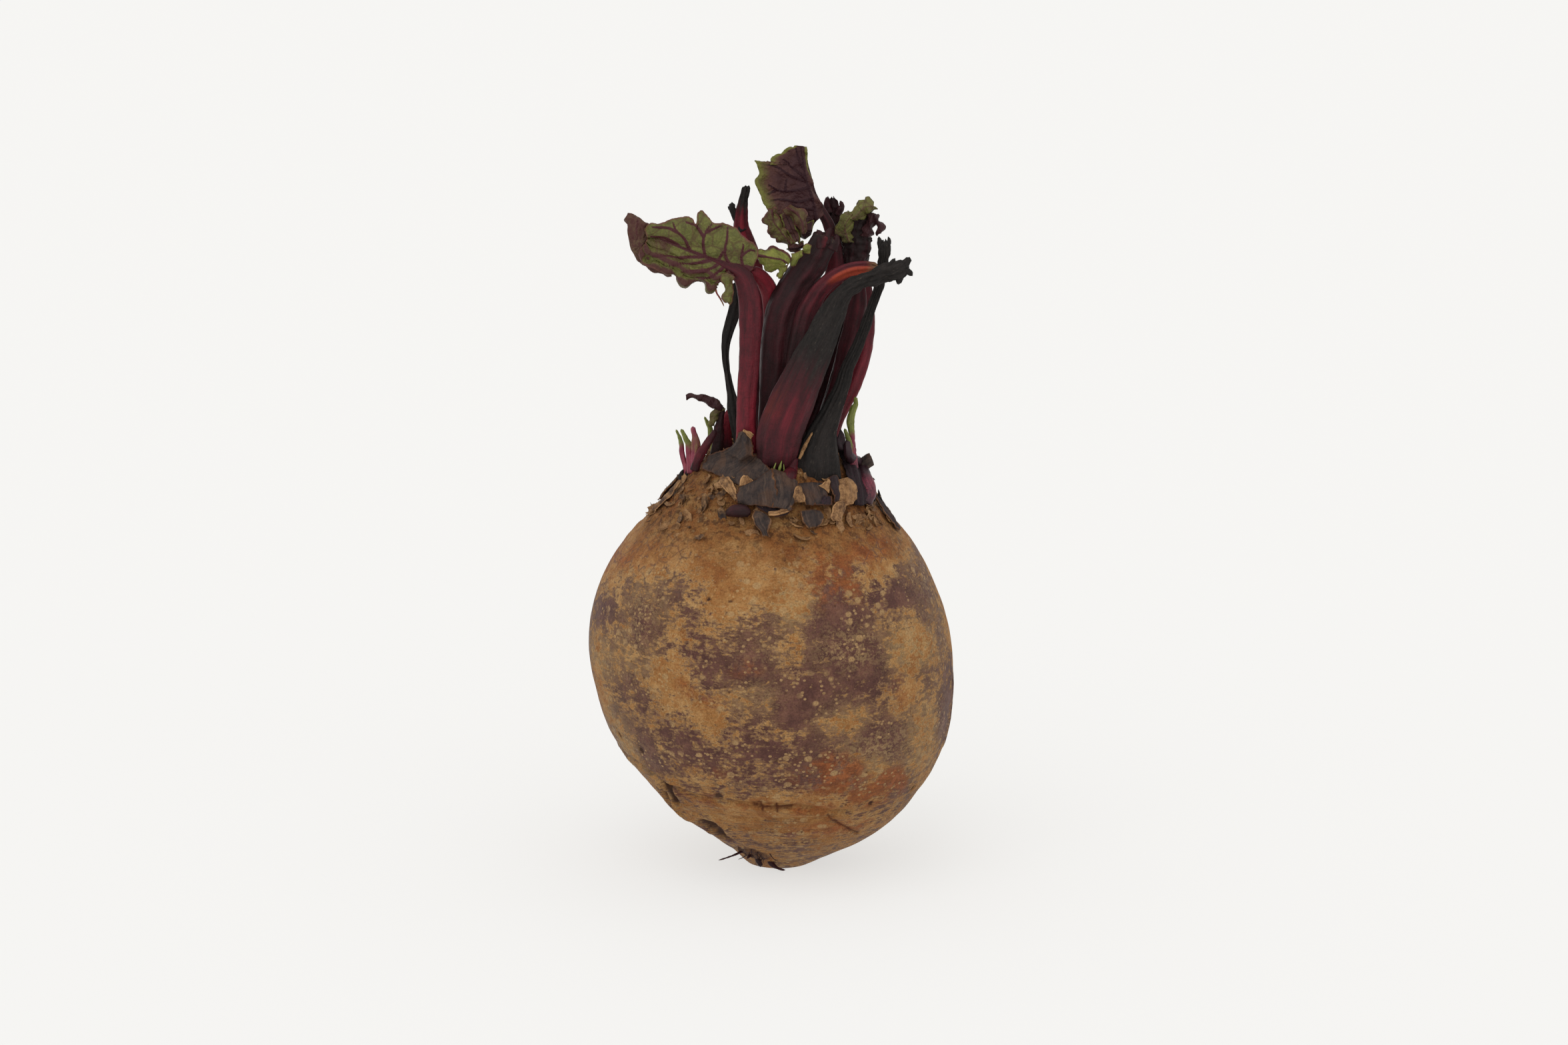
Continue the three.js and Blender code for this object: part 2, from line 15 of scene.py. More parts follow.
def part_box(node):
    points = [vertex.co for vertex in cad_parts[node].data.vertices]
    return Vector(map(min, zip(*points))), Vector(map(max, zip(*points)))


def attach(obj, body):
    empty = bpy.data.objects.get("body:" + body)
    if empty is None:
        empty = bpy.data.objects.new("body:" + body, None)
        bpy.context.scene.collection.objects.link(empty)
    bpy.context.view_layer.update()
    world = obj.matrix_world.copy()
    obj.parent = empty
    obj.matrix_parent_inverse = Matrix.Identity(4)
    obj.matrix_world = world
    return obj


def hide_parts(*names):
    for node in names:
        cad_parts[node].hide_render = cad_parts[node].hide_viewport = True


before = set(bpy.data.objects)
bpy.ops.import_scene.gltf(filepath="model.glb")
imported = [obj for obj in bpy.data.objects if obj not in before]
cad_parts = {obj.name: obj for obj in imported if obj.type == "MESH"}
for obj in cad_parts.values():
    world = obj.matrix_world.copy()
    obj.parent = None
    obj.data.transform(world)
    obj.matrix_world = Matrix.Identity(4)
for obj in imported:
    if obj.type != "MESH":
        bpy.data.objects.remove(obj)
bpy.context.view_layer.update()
ROOT_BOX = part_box("root")
MM = 0.001
CROWN_TOP = ROOT_BOX[1].z / MM

# %% [markdown]
# ## Curves, noise and meshes
# Almost every piece here is either a body turned about the upright axis or a strand that
# follows a path. Both can be written as a grid of points: one direction runs along the piece
# and the other runs across or around it. NumPy moves all the points of a grid at once, which
# keeps the shaping code short. Everything is measured in millimetres until the mesh is made.

# %% A smooth path through a few points
FINE_STEPS = 600


def travelled(path):
    """How far along a path each of its points lies."""
    return np.concatenate([[0], np.cumsum(np.linalg.norm(np.diff(path, axis=0), axis=1))])


def path_through(points, count):
    """Evenly spaced places on a centripetal Catmull-Rom curve through the points."""
    known = np.asarray(points, float)
    known = np.vstack([2 * known[0] - known[1], known, 2 * known[-1] - known[-2]])
    knots = np.sqrt(np.linalg.norm(np.diff(known, axis=0), axis=1))
    place = np.linspace(0, len(points) - 1, FINE_STEPS)
    first = np.minimum(place.astype(int), len(points) - 2)
    share = (place - first)[:, None]
    before, here, after, beyond = (known[first + step] for step in range(4))
    gap_before, gap, gap_after = (knots[first + step][:, None] for step in range(3))
    leave = ((here - before) / gap_before - (after - before) / (gap_before + gap)
        + (after - here) / gap) * gap
    arrive = ((after - here) / gap - (beyond - here) / (gap + gap_after)
        + (beyond - after) / gap_after) * gap
    cubic = 2 * (here - after) + leave + arrive
    square = 3 * (after - here) - 2 * leave - arrive
    curve = here + share * (leave + share * (square + share * cubic))
    distance = travelled(curve)
    even = np.linspace(0, distance[-1], count)
    return np.stack([np.interp(even, distance, part) for part in curve.T], 1)


def along(values, shares):
    """A list of values, evenly spaced along a piece, read at any share of its length."""
    values = np.atleast_1d(np.asarray(values, float))
    return np.interp(shares, np.linspace(0, 1, len(values)), values)


def smooth(edge_low, edge_high, values):
    """0 below the low edge, 1 above the high edge, and an easy slope between them."""
    share = np.clip((values - edge_low) / (edge_high - edge_low), 0, 1)
    return share * share * (3 - 2 * share)


# %% Noise that is the same on every run
def lumps(points, size, seed=0, octaves=2, stretch=(1, 1, 1)):
    """Soft noise, about -1 to 1, whose lumps measure `size` millimetres."""
    shape = points.shape[:-1]
    flat = (points.reshape(-1, 3) / (size * np.asarray(stretch, float))
        + np.array([17.3, 5.1, 9.7]) * (seed + 1))
    values = [noise.fractal(place, 1.0, 2.0, octaves) for place in flat.tolist()]
    return np.array(values).reshape(shape)


def wave(values, seed=0, octaves=2):
    """The same noise along a line."""
    flat = np.stack([values, np.full_like(values, seed * 3.7), np.full_like(values, 0.5)], -1)
    return lumps(flat, 1.0, seed, octaves)


# %% From a grid of points to a Blender object
def grid_faces(rows, columns, closed):
    """Quads of a grid; `closed` joins the last column to the first."""
    row = np.arange(rows - 1)[:, None] * columns
    column = np.arange(columns if closed else columns - 1)[None, :]
    after = (column + 1) % columns
    quads = np.stack([row + column, row + after, row + columns + after, row + columns + column], -1)
    return quads.reshape(-1, 4).tolist()


def closed_faces(rows, columns):
    """Faces of a closed grid, with a fan at each end to one of two more points."""
    faces = grid_faces(rows, columns, True)
    last = (rows - 1) * columns
    for column in range(columns):
        after = (column + 1) % columns
        faces.append((after, column, rows * columns))
        faces.append((last + column, last + after, rows * columns + 1))
    return faces


def make_piece(name, points, faces, finish, marks=None):
    """A smooth mesh at the origin. `marks` are numbers or places, in mm, that its finish reads."""
    mesh = bpy.data.meshes.new(name)
    mesh.from_pydata((np.asarray(points) * MM).tolist(), [], faces)
    for mark, values in (marks or {}).items():
        values = np.asarray(values, np.float32)
        if values.ndim == 2:
            layer = mesh.attributes.new(mark, "FLOAT_VECTOR", "POINT")
            layer.data.foreach_set("vector", (values * MM).ravel())
        else:
            layer = mesh.attributes.new(mark, "FLOAT", "POINT")
            layer.data.foreach_set("value", values)
    mesh.polygons.foreach_set("use_smooth", np.ones(len(mesh.polygons), bool))
    mesh.materials.append(finish)
    mesh.update()
    piece = bpy.data.objects.new(name, mesh)
    bpy.context.scene.collection.objects.link(piece)
    return piece


def settle(piece, slot, *nodes):
    """Ties a finished piece to the frame: its body and the nodes it stands for, which it hides. The
    slot is not used.
    """
    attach(piece, "root")
    if nodes:
        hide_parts(*nodes)


# %% [markdown]
# ## A small toolbox for materials
# A finish is a graph of nodes. Writing each node out in full would bury the recipe, so a small
# class adds one node per call and hands back its output. Colours are given as they look on a
# screen, from 0 to 255, and are turned into the linear values that Blender mixes.

# %% The finish class
def linear(colour):
    """Screen colour 0-255 to linear red, green, blue and alpha."""
    share = [part / 255 for part in colour]
    return [part / 12.92 if part <= 0.04045 else ((part + 0.055) / 1.055) ** 2.4
        for part in share] + [1.0]


class Finish:
    """A procedural material that is built up by short calls."""

    def __init__(self, name, roughness=0.6, specular=0.3):
        self.material = bpy.data.materials.new(name)
        self.material.use_nodes = True
        self.tree = self.material.node_tree
        self.shader = self.tree.nodes["Principled BSDF"]
        self.shader.inputs["Roughness"].default_value = roughness
        self.shader.inputs["Specular IOR Level"].default_value = specular
        self.place = self.node("ShaderNodeTexCoord").outputs["Object"]

    def node(self, kind, settings=None, inputs=None):
        made = self.tree.nodes.new(kind)
        for key, value in (settings or {}).items():
            setattr(made, key, value)
        for key, value in (inputs or {}).items():
            socket = made.inputs[key]
            if isinstance(value, bpy.types.NodeSocket):
                self.tree.links.new(value, socket)
            else:
                socket.default_value = value
        return made

    def mark(self, name, output="Fac"):
        """Numbers or places that the piece carries on its points."""
        return self.node("ShaderNodeAttribute", {"attribute_name": name}).outputs[output]

    def stretch(self, scale, vector=None):
        return self.node("ShaderNodeMapping", None,
            {"Vector": vector or self.place, "Scale": scale}).outputs["Vector"]

    def noise(self, size, vector=None, detail=4.0, rough=0.55, twist=0.0):
        """Noise with features of `size` mm in the object's own coordinates."""
        return self.node("ShaderNodeTexNoise", None, {
            "Vector": vector or self.place, "Scale": 1 / (size * MM), "Detail": detail,
            "Roughness": rough, "Distortion": twist}).outputs["Fac"]

    def cells(self, size, vector=None, feature="F1", output="Distance"):
        """Cells about `size` mm wide."""
        return self.node("ShaderNodeTexVoronoi", {"feature": feature}, {
            "Vector": vector or self.place, "Scale": 1 / (size * MM)}).outputs[output]

    def math(self, operation, first, second):
        return self.node("ShaderNodeMath", {"operation": operation},
            {0: first, 1: second}).outputs[0]

    def times(self, first, second):
        return self.math("MULTIPLY", first, second)

    def slope(self, value, low, high, start=0.0, end=1.0):
        """Maps low..high to start..end smoothly, and holds the ends."""
        return self.node("ShaderNodeMapRange", {"interpolation_type": "SMOOTHSTEP"}, {
            "Value": value, "From Min": low, "From Max": high,
            "To Min": start, "To Max": end}).outputs["Result"]

    def total(self, *terms):
        """Sum of (value, weight) pairs."""
        result = None
        for value, weight in terms:
            part = self.times(value, weight)
            result = part if result is None else self.math("ADD", result, part)
        return result

    def mix(self, share, first, second, blend="MIX"):
        made = self.node("ShaderNodeMix", {"data_type": "RGBA", "blend_type": blend}, {0: share})
        for index, colour in ((6, first), (7, second)):
            if isinstance(colour, bpy.types.NodeSocket):
                self.tree.links.new(colour, made.inputs[index])
            else:
                made.inputs[index].default_value = linear(colour)
        return made.outputs[2]

    def blend(self, value, *stops):
        """A colour ramp from (position, colour) stops."""
        made = self.node("ShaderNodeValToRGB", None, {"Fac": value})
        ramp = made.color_ramp
        while len(ramp.elements) < len(stops):
            ramp.elements.new(1.0)
        for element, (position, colour) in zip(ramp.elements, stops):
            element.position = position
            element.color = linear(colour)
        return made.outputs["Color"]

    def bump(self, height, depth, under=None):
        """Relief of `depth` mm."""
        made = self.node("ShaderNodeBump", None, {"Height": height, "Distance": depth * MM})
        if under is not None:
            self.tree.links.new(under, made.inputs["Normal"])
        return made.outputs["Normal"]

    def finish(self, colour, normal=None, roughness=None):
        for key, value in (("Base Color", colour), ("Normal", normal), ("Roughness", roughness)):
            if value is not None:
                self.tree.links.new(value, self.shader.inputs[key])
        return self.material


# %% [markdown]
# ## Studio and camera
# The beetroot stands on a plain pale floor that runs out of sight. An even sky lights it from
# all round, as a light tent does, and one broad soft sun from the front left gives it form.
# The floor is a light table: most of its brightness is its own glow, so that only a faint
# shadow is left on it. The camera stands well back with a long lens, a little above the crown,
# so the root keeps its true outline.

# %% Floor, lights and camera
PAPER_WHITE = (246, 245, 243)
FLOOR_SIZE = 12.0
FLOOR_GREY = (0.25, 0.25, 0.25, 1)
FLOOR_GLOW = (0.645, 0.639, 0.624, 1)
SKY_STRENGTH = 1.0
SUN_STRENGTH = 0.62
FILL_STRENGTH = 0.35

floor_finish = Finish("Studio floor", roughness=0.9, specular=0.0)
for socket, value in (("Base Color", FLOOR_GREY), ("Emission Color", FLOOR_GLOW),
        ("Emission Strength", 1.0)):
    floor_finish.shader.inputs[socket].default_value = value
floor = bpy.data.objects.new("studio_floor", bpy.data.meshes.new("studio_floor"))
half = FLOOR_SIZE / 2
floor.data.from_pydata([(-half, -half, 0), (half, -half, 0), (half, half, 0), (-half, half, 0)],
    [], [(0, 1, 2, 3)])
floor.data.materials.append(floor_finish.material)
bpy.context.scene.collection.objects.link(floor)

scene = bpy.context.scene
scene.view_settings.view_transform = "Standard"
scene.view_settings.look = "None"
sky = bpy.data.worlds.new("Light tent")
scene.world = sky
sky.use_nodes = True
background = sky.node_tree.nodes["Background"]
background.inputs["Color"].default_value = linear(PAPER_WHITE)
background.inputs["Strength"].default_value = SKY_STRENGTH


def add_sun(name, strength, azimuth, elevation, softness):
    """A sun from an azimuth seen from the front (negative is left), softened to a wide disc."""
    light = bpy.data.lights.new(name, "SUN")
    light.energy = strength
    light.angle = math.radians(softness)
    lamp = bpy.data.objects.new(name, light)
    turn, rise = math.radians(azimuth), math.radians(elevation)
    source = Vector((math.sin(turn) * math.cos(rise), -math.cos(turn) * math.cos(rise),
        math.sin(rise)))
    lamp.rotation_euler = source.to_track_quat("Z", "Y").to_euler()
    scene.collection.objects.link(lamp)


add_sun("Key light", SUN_STRENGTH, -28, 52, 50)
add_sun("Front fill", FILL_STRENGTH, 20, 20, 80)

CAMERA_RISE = math.radians(14)
CAMERA_DISTANCE = 1.4
SENSOR = 36.0                            # mm
VIEW_WIDTH = 3.613 * ROOT_BOX[1].z       # shares of the root's height and half width
AIM_ACROSS, AIM_HEIGHT = 0.04, 0.8107
aim = Vector((AIM_ACROSS * ROOT_BOX[1].x, 0, AIM_HEIGHT * ROOT_BOX[1].z))
camera = bpy.data.objects.new("Camera", bpy.data.cameras.new("Camera"))
camera.data.sensor_width = SENSOR
camera.data.lens = SENSOR * CAMERA_DISTANCE / VIEW_WIDTH
camera.location = aim + CAMERA_DISTANCE * Vector((0, -math.cos(CAMERA_RISE), math.sin(CAMERA_RISE)))
camera.rotation_euler = (math.pi / 2 - CAMERA_RISE, 0, 0)
scene.collection.objects.link(camera)
scene.camera = camera
print(f"lens {camera.data.lens:.0f} mm, view {VIEW_WIDTH / MM:.0f} mm wide")

# %% [markdown]
# ## The root
# The root is one body turned about its upright axis, so its outline is a short list of half
# widths by height. The grid is fine enough, about 0.7 mm, for the real relief: broad lumps,
# wrinkles where it grew, cracks, scars of side roots, and the warty cork round the crown.
# Relief that is finer than the grid is left to the finish.

# %% The root's outline and grid
HALF_GIRTH = 44.0
FLAT_RADIUS = 8.0
OUTLINE = [  # half width and height as shares, and how far the middle drifts sideways, in mm
    (0, 1, -0.5), (0.18, 0.996, -0.5), (0.32, 0.978, -0.6), (0.455, 0.926, -0.8),
    (0.59, 0.857, -1.6), (0.823, 0.745, -2.3), (0.959, 0.622, -2.2), (1, 0.495, -1.4),
    (0.93, 0.315, 0.6), (0.697, 0.162, 2.6), (0.44, 0.07, 3.6),
    (FLAT_RADIUS / HALF_GIRTH, 0, 0.5)]
DEPTH_RATIO = 0.97
RING_COUNT = 250
COLUMN_COUNT = 376
FLAT_RINGS = (0.75, 0.5, 0.25)

outline = path_through([(half * HALF_GIRTH, rise * CROWN_TOP, drift)
    for half, rise, drift in OUTLINE], RING_COUNT + 1)


def root_place(angle, height):
    """A point of the plain root at an angle in degrees (-90 is the front) and a height."""
    rising = outline[::-1]
    half_width = np.interp(height, rising[:, 1], rising[:, 0])
    drift = np.interp(height, rising[:, 1], rising[:, 2])
    turn = np.radians(angle)
    return np.stack([drift + half_width * np.cos(turn),
        half_width * DEPTH_RATIO * np.sin(turn), np.asarray(height, float)], -1)


def crown_place(angle, radius, lift=0.0):
    """A point over the crown at a distance from its middle, lifted off the skin."""
    upper = outline[:int(RING_COUNT * 0.45)]
    height = np.interp(radius, upper[:, 0], upper[:, 1])
    place = root_place(angle, height)
    slope = np.interp(radius, upper[:, 0], np.gradient(upper[:, 1], upper[:, 0]))
    length = math.hypot(slope, 1)
    turn = math.radians(angle)
    away = np.array([-slope * math.cos(turn), -slope * math.sin(turn), 1.0]) / length
    return place + away * lift


turns = np.linspace(0, 2 * math.pi, COLUMN_COUNT, endpoint=False)
rings = outline[1:]
skin = np.stack([rings[:, None, 2] + rings[:, None, 0] * np.cos(turns),
    rings[:, None, 0] * DEPTH_RATIO * np.sin(turns),
    np.repeat(rings[:, 1:2], COLUMN_COUNT, 1)], -1)
down = np.gradient(skin, axis=0)
around = np.roll(skin, -1, 1) - np.roll(skin, 1, 1)
outward = np.cross(down, around)
outward /= np.linalg.norm(outward, axis=-1, keepdims=True)
height = skin[..., 2]
print(f"root grid {skin.shape[0]} x {skin.shape[1]}")

# %% [markdown]
# The marks of the root's life sit at known places: an angle round the root and a height. A
# crease or a crack is a short line of such places, and a soft groove follows it. Patches are
# soft ovals that push the skin towards bare plum, cork or rust; the finish breaks their edges
# up. They are noted as a person in front sees them, across and up, and a few rounds of
# guessing find where that line of sight meets the skin. The far side gets turned copies.

# %% Where the creases, scars and patches are
CREASES = [  # depth, half width, and the line as angle and height
    (0.75, 0.9, [(-166, 30), (-150, 30), (-138, 27.6), (-127, 25.4), (-112, 24.6), (-98, 24.6),
        (-83, 23.6), (-64, 21)]),
    (0.35, 0.7, [(-126, 27.5), (-112, 27), (-98, 26)]),
    (0.35, 0.7, [(-134, 19), (-112, 19.5), (-89, 20), (-73, 20)]),
    (0.25, 0.7, [(-118, 11), (-92, 11.5), (-69, 12.5)]),
    (0.25, 0.6, [(-121, 16), (-101, 16.4), (-80, 16)]),
    (1.80, 1.0, [(-142, 24.5), (-144.5, 21), (-145, 17.5)]),
    (1.60, 1.0, [(-136.5, 27), (-137, 25), (-138.5, 22)]),
    (0.40, 1.0, [(40, 30), (70, 27), (100, 28), (128, 31)]),
    (0.35, 0.8, [(20, 22), (60, 19), (95, 20)]),
    (0.80, 1.2, [(150, 44), (152, 36), (149, 28)]),
    (0.50, 0.9, [(-8, 47), (-6, 40), (-9, 33)]),
]
CRACKS = [
    (0.55, 0.32, [(-102, 24), (-97, 23.5), (-87, 23.4)]),
    (0.45, 0.30, [(-73, 20.5), (-64, 16.5), (-51, 12.5)]),
    (0.25, 0.25, [(-99, 24.8), (-98, 22.4)]),
    (0.25, 0.25, [(-93, 24.5), (-93, 22.6)]),
    (0.40, 0.30, [(48, 26), (60, 25.4), (71, 26.4)]),
    (0.40, 0.30, [(118, 18), (124, 22.4)]),
]
PITS = [  # depth, radius, angle, height
    (2.8, 3.0, -131, 14.8), (2.0, 2.2, -131, 11.6), (0.5, 0.5, -111, 75), (0.5, 0.45, -103, 75),
    (0.8, 0.9, -155, 36.5), (0.7, 0.9, -142, 35), (0.7, 0.8, -30, 23.5), (0.7, 1.1, -114, 26),
    (0.5, 0.7, -54, 22.5), (1.2, 1.5, 34, 18), (0.9, 1.0, 86, 34), (1.5, 1.8, 140, 15),
    (0.6, 0.8, 168, 52), (0.5, 0.6, 62, 70),
]
TAIL = (-122, 5.4)
TAIL_RADIUS = 6.0
PLUM_PATCHES = [  # across and up from the front, half width, half height, strength
    (-32, 61, 6, 7, 0.6), (13, 59, 7, 4, 1.0), (17.5, 50, 8, 7, 1.2), (29.5, 65, 4, 3.5, 0.7),
    (-9, 50, 8, 5, 0.7), (4, 40, 6, 5, 0.9), (-23, 30, 6, 4, 0.45), (24, 32, 8, 5, 0.8),
    (11, 28, 6, 3, 0.8), (-7, 28, 9, 3, 0.6), (-33, 41, 3, 5, 0.4), (-40.5, 47, 2, 6, 0.4),
    (41, 37, 1.5, 6, 1.0), (4, 21, 10, 2, 0.5), (-20, 60, 3, 5, 0.3), (-2, 59, 5, 3, 0.35),
    (9, 44, 6, 5, 0.8), (36, 57, 3, 7, 0.3)]
CORK_PATCHES = [
    (-9, 66, 10, 6, 1.0), (-26, 45, 5, 6, 0.9), (4, 63, 4, 4, 0.8), (32, 52, 5, 5, 0.8),
    (17.5, 35, 4, 2.6, 1.1), (-23, 57, 4, 4, 0.6), (0, 13, 22, 5, 0.8), (33, 40, 4, 7, 0.5),
    (-30, 75, 9, 5, 0.9), (24, 72, 6, 3, 0.5), (-15, 37, 5, 4, 0.4)]
RUST_PATCHES = [
    (13, 70, 8, 6, 1.0), (21, 76, 8, 3, 0.8), (-7.5, 48, 4, 2.5, 0.6), (-21, 43, 3, 6, 0.6),
    (13, 22, 7, 5, 1.5), (25, 19, 7, 4.5, 1.4), (-15, 40, 4, 2, 0.6), (6, 14.5, 10, 2.2, 0.9),
    (30, 41, 4, 6, 0.5), (-31, 88, 8, 3, 0.5), (-12, 16, 12, 3, 0.6), (15, 9, 12, 3, 0.8),
    (2, 75, 9, 3, 0.5), (-16, 23, 8, 2, 0.4)]
CRUST_PATCHES = [
    (4, 63, 5, 5, 1.0), (33, 53, 6, 5, 1.0), (18, 53, 8, 5, 0.7), (-32, 63, 5, 6, 0.7),
    (-5, 41, 6, 4, 0.6), (22, 27, 9, 6, 0.8), (-38, 30, 4, 10, 1.0), (-35, 52, 5, 8, 0.6),
    (16, 36, 6, 4, 0.6), (-4, 52, 7, 5, 0.3)]
NET_PATCHES = [(-30, 74, 9, 6, 1.0), (27, 76, 7, 3, 0.8), (-24, 66, 5, 4, 0.6)]
# Turned copies of the patches: degrees, rise, strength.
BACK_TURNS = ((122, 4, 0.8), (238, -5, 0.8))


def skin_seen_at(across, up):
    """Angle and height of the skin that shows at a place in the front view."""
    rising = outline[::-1]
    level = up
    for _ in range(15):
        half_width = np.interp(level, rising[:, 1], rising[:, 0])
        drift = np.interp(level, rising[:, 1], rising[:, 2])
        cosine = np.clip((across - drift) / half_width, -0.985, 0.985)
        depth = -half_width * DEPTH_RATIO * math.sqrt(1 - cosine ** 2)
        level = (up - depth * math.sin(CAMERA_RISE)) / math.cos(CAMERA_RISE)
    return -math.degrees(math.acos(cosine)), level


# %% Shape the root and mark its skin
def distance_to_line(places, line):
    """Distance from every place to a line of points."""
    nearest = np.full(places.shape[:-1], 1e9)
    for start, end in zip(line[:-1], line[1:]):
        step = end - start
        share = np.clip(((places - start) @ step) / (step @ step), 0, 1)
        gap = np.linalg.norm(places - start - share[..., None] * step, axis=-1)
        nearest = np.minimum(nearest, gap)
    return nearest


def patch_sum(patches):
    """Soft ovals round the root, and their turned copies on the far side."""
    result = np.zeros(height.shape)
    degrees = np.degrees(turns)[None, :]
    local = rings[:, 0:1]
    for turn, rise, share in ((0, 0, 1.0),) + BACK_TURNS:
        for across, up, wide, tall, strength in patches:
            angle, middle = skin_seen_at(across, up)
            spread = 1.15 / max(0.3, abs(math.sin(math.radians(angle))))
            swing = (degrees - angle - turn + 180) % 360 - 180
            sideways = np.radians(swing) * local / (wide * spread)
            upright = (height - middle - rise) / (tall * 1.15)
            oval = strength * share * np.exp(-(sideways ** 2 + upright ** 2) ** 1.2)
            result = np.maximum(result, oval)
    return result


crown = smooth(77, 92, height + 2.5 * lumps(skin, 9, 3))
low = 1 - smooth(14, 38, height)
relief = 0.45 * lumps(skin, 26, 1) + 0.12 * lumps(skin, 7, 2)
growth = lumps(skin, 5, 4, 2, (9, 9, 0.8))
relief += low * 0.22 * growth + 0.05 * growth
warts = lumps(skin, 3.2, 5, 3)
relief += crown * (0.55 * np.maximum(warts, -0.3) + 0.5
    * np.abs(lumps(skin, 6, 6, 2, (1.6, 1.6, 0.7))))

wandering = skin + 0.35 * np.stack([lumps(skin, 2.4, 30 + axis) for axis in range(3)], -1)
# The dark mark is painted shade: creases darken with their depth, and pits darken in their hollows.
dark = np.zeros(height.shape)
for depth, width, line in CREASES:
    place = root_place(*np.array(line, float).T)
    near = distance_to_line(wandering, path_through(place, 16))
    groove = np.exp(-(near / width) ** 2)
    lip = np.exp(-((near - 2.2 * width) / width) ** 2)
    relief -= depth * (groove - 0.45 * lip)
    dark = np.maximum(dark, groove * min(1, max(0.12, depth - 0.5)))
crack = np.zeros(height.shape)
for depth, width, line in CRACKS:
    near = distance_to_line(wandering, path_through(root_place(*np.array(line, float).T), 12))
    relief -= depth * np.exp(-(near / (width * 1.6)) ** 2)
    crack = np.maximum(crack, np.exp(-(near / (width * 1.9)) ** 2))
for depth, radius, angle, middle in PITS:
    near = np.linalg.norm(wandering - root_place(angle, middle), axis=-1)
    hollow = np.exp(-(near / radius) ** 2)
    lip = np.exp(-((near - 1.5 * radius) / (0.5 * radius)) ** 2)
    relief -= depth * (hollow - 0.22 * lip)
    dark = np.maximum(dark, hollow)
tail_gap = np.linalg.norm((wandering - root_place(*TAIL)) * (1, 1, 1.6), axis=-1)
tail = 1 - smooth(0.45 * TAIL_RADIUS, TAIL_RADIUS, tail_gap)
relief += tail * (0.35 + 0.9 * lumps(skin, 1.8, 9, 3))

# The flat spot stays flat, so the relief fades out towards it.
relief *= smooth(0.0, 2.5, height)
shaped = skin + outward * relief[..., None]
shaped[..., 2] = np.clip(shaped[..., 2], 0, None)
on_flat = height < 1e-6
shaped[on_flat, 2] = 0.0

flat_rim = shaped[-1]
flat_middle = np.array([0.5, 0, 0])
inner = [flat_middle + (flat_rim - flat_middle) * share for share in FLAT_RINGS]
top = np.array([[rings[0, 2], 0, CROWN_TOP - 0.1]])
points = np.vstack([shaped.reshape(-1, 3), *inner, top, flat_middle[None]])
faces = [face[::-1] for face in closed_faces(RING_COUNT + len(FLAT_RINGS), COLUMN_COUNT)]


def whole_root(values):
    """Marks of the grid, carried on to the flat spot and the two middle points."""
    under = np.tile(values[-1], len(FLAT_RINGS))
    return np.concatenate([values.ravel(), under, values[0, :1], values[-1, :1]])


skin_marks = {
    "plum": patch_sum(PLUM_PATCHES) - patch_sum(CORK_PATCHES), "rust": patch_sum(RUST_PATCHES),
    "crust": patch_sum(CRUST_PATCHES), "net": patch_sum(NET_PATCHES),
    "flaky": smooth(84.5, 91, height) * np.clip(0.5 + 1.5 * lumps(skin, 7, 71, 2), 0.1, 1),
    "hairy": np.maximum(tail, 0.7 * patch_sum([(-26, 88, 3, 1.6, 1.0), (15, 86, 5, 1.4, 0.5)])),
    "crown": crown, "low": low, "dark": dark, "crack": crack, "tail": tail}
skin_marks = {mark: whole_root(values) for mark, values in skin_marks.items()}

# %% [markdown]
# ### The skin's finish
# The skin is plum underneath. Over it lies cork, thick in some places and so thin in others
# that the plum shows through and greys it. One sum of noises, pushed by the patches, decides
# how thick the cork is, and two steps of that sum give bare plum, thin cork and thick cork.
# Noise that is squeezed in height makes streaks that run round the root, as the real ones do.

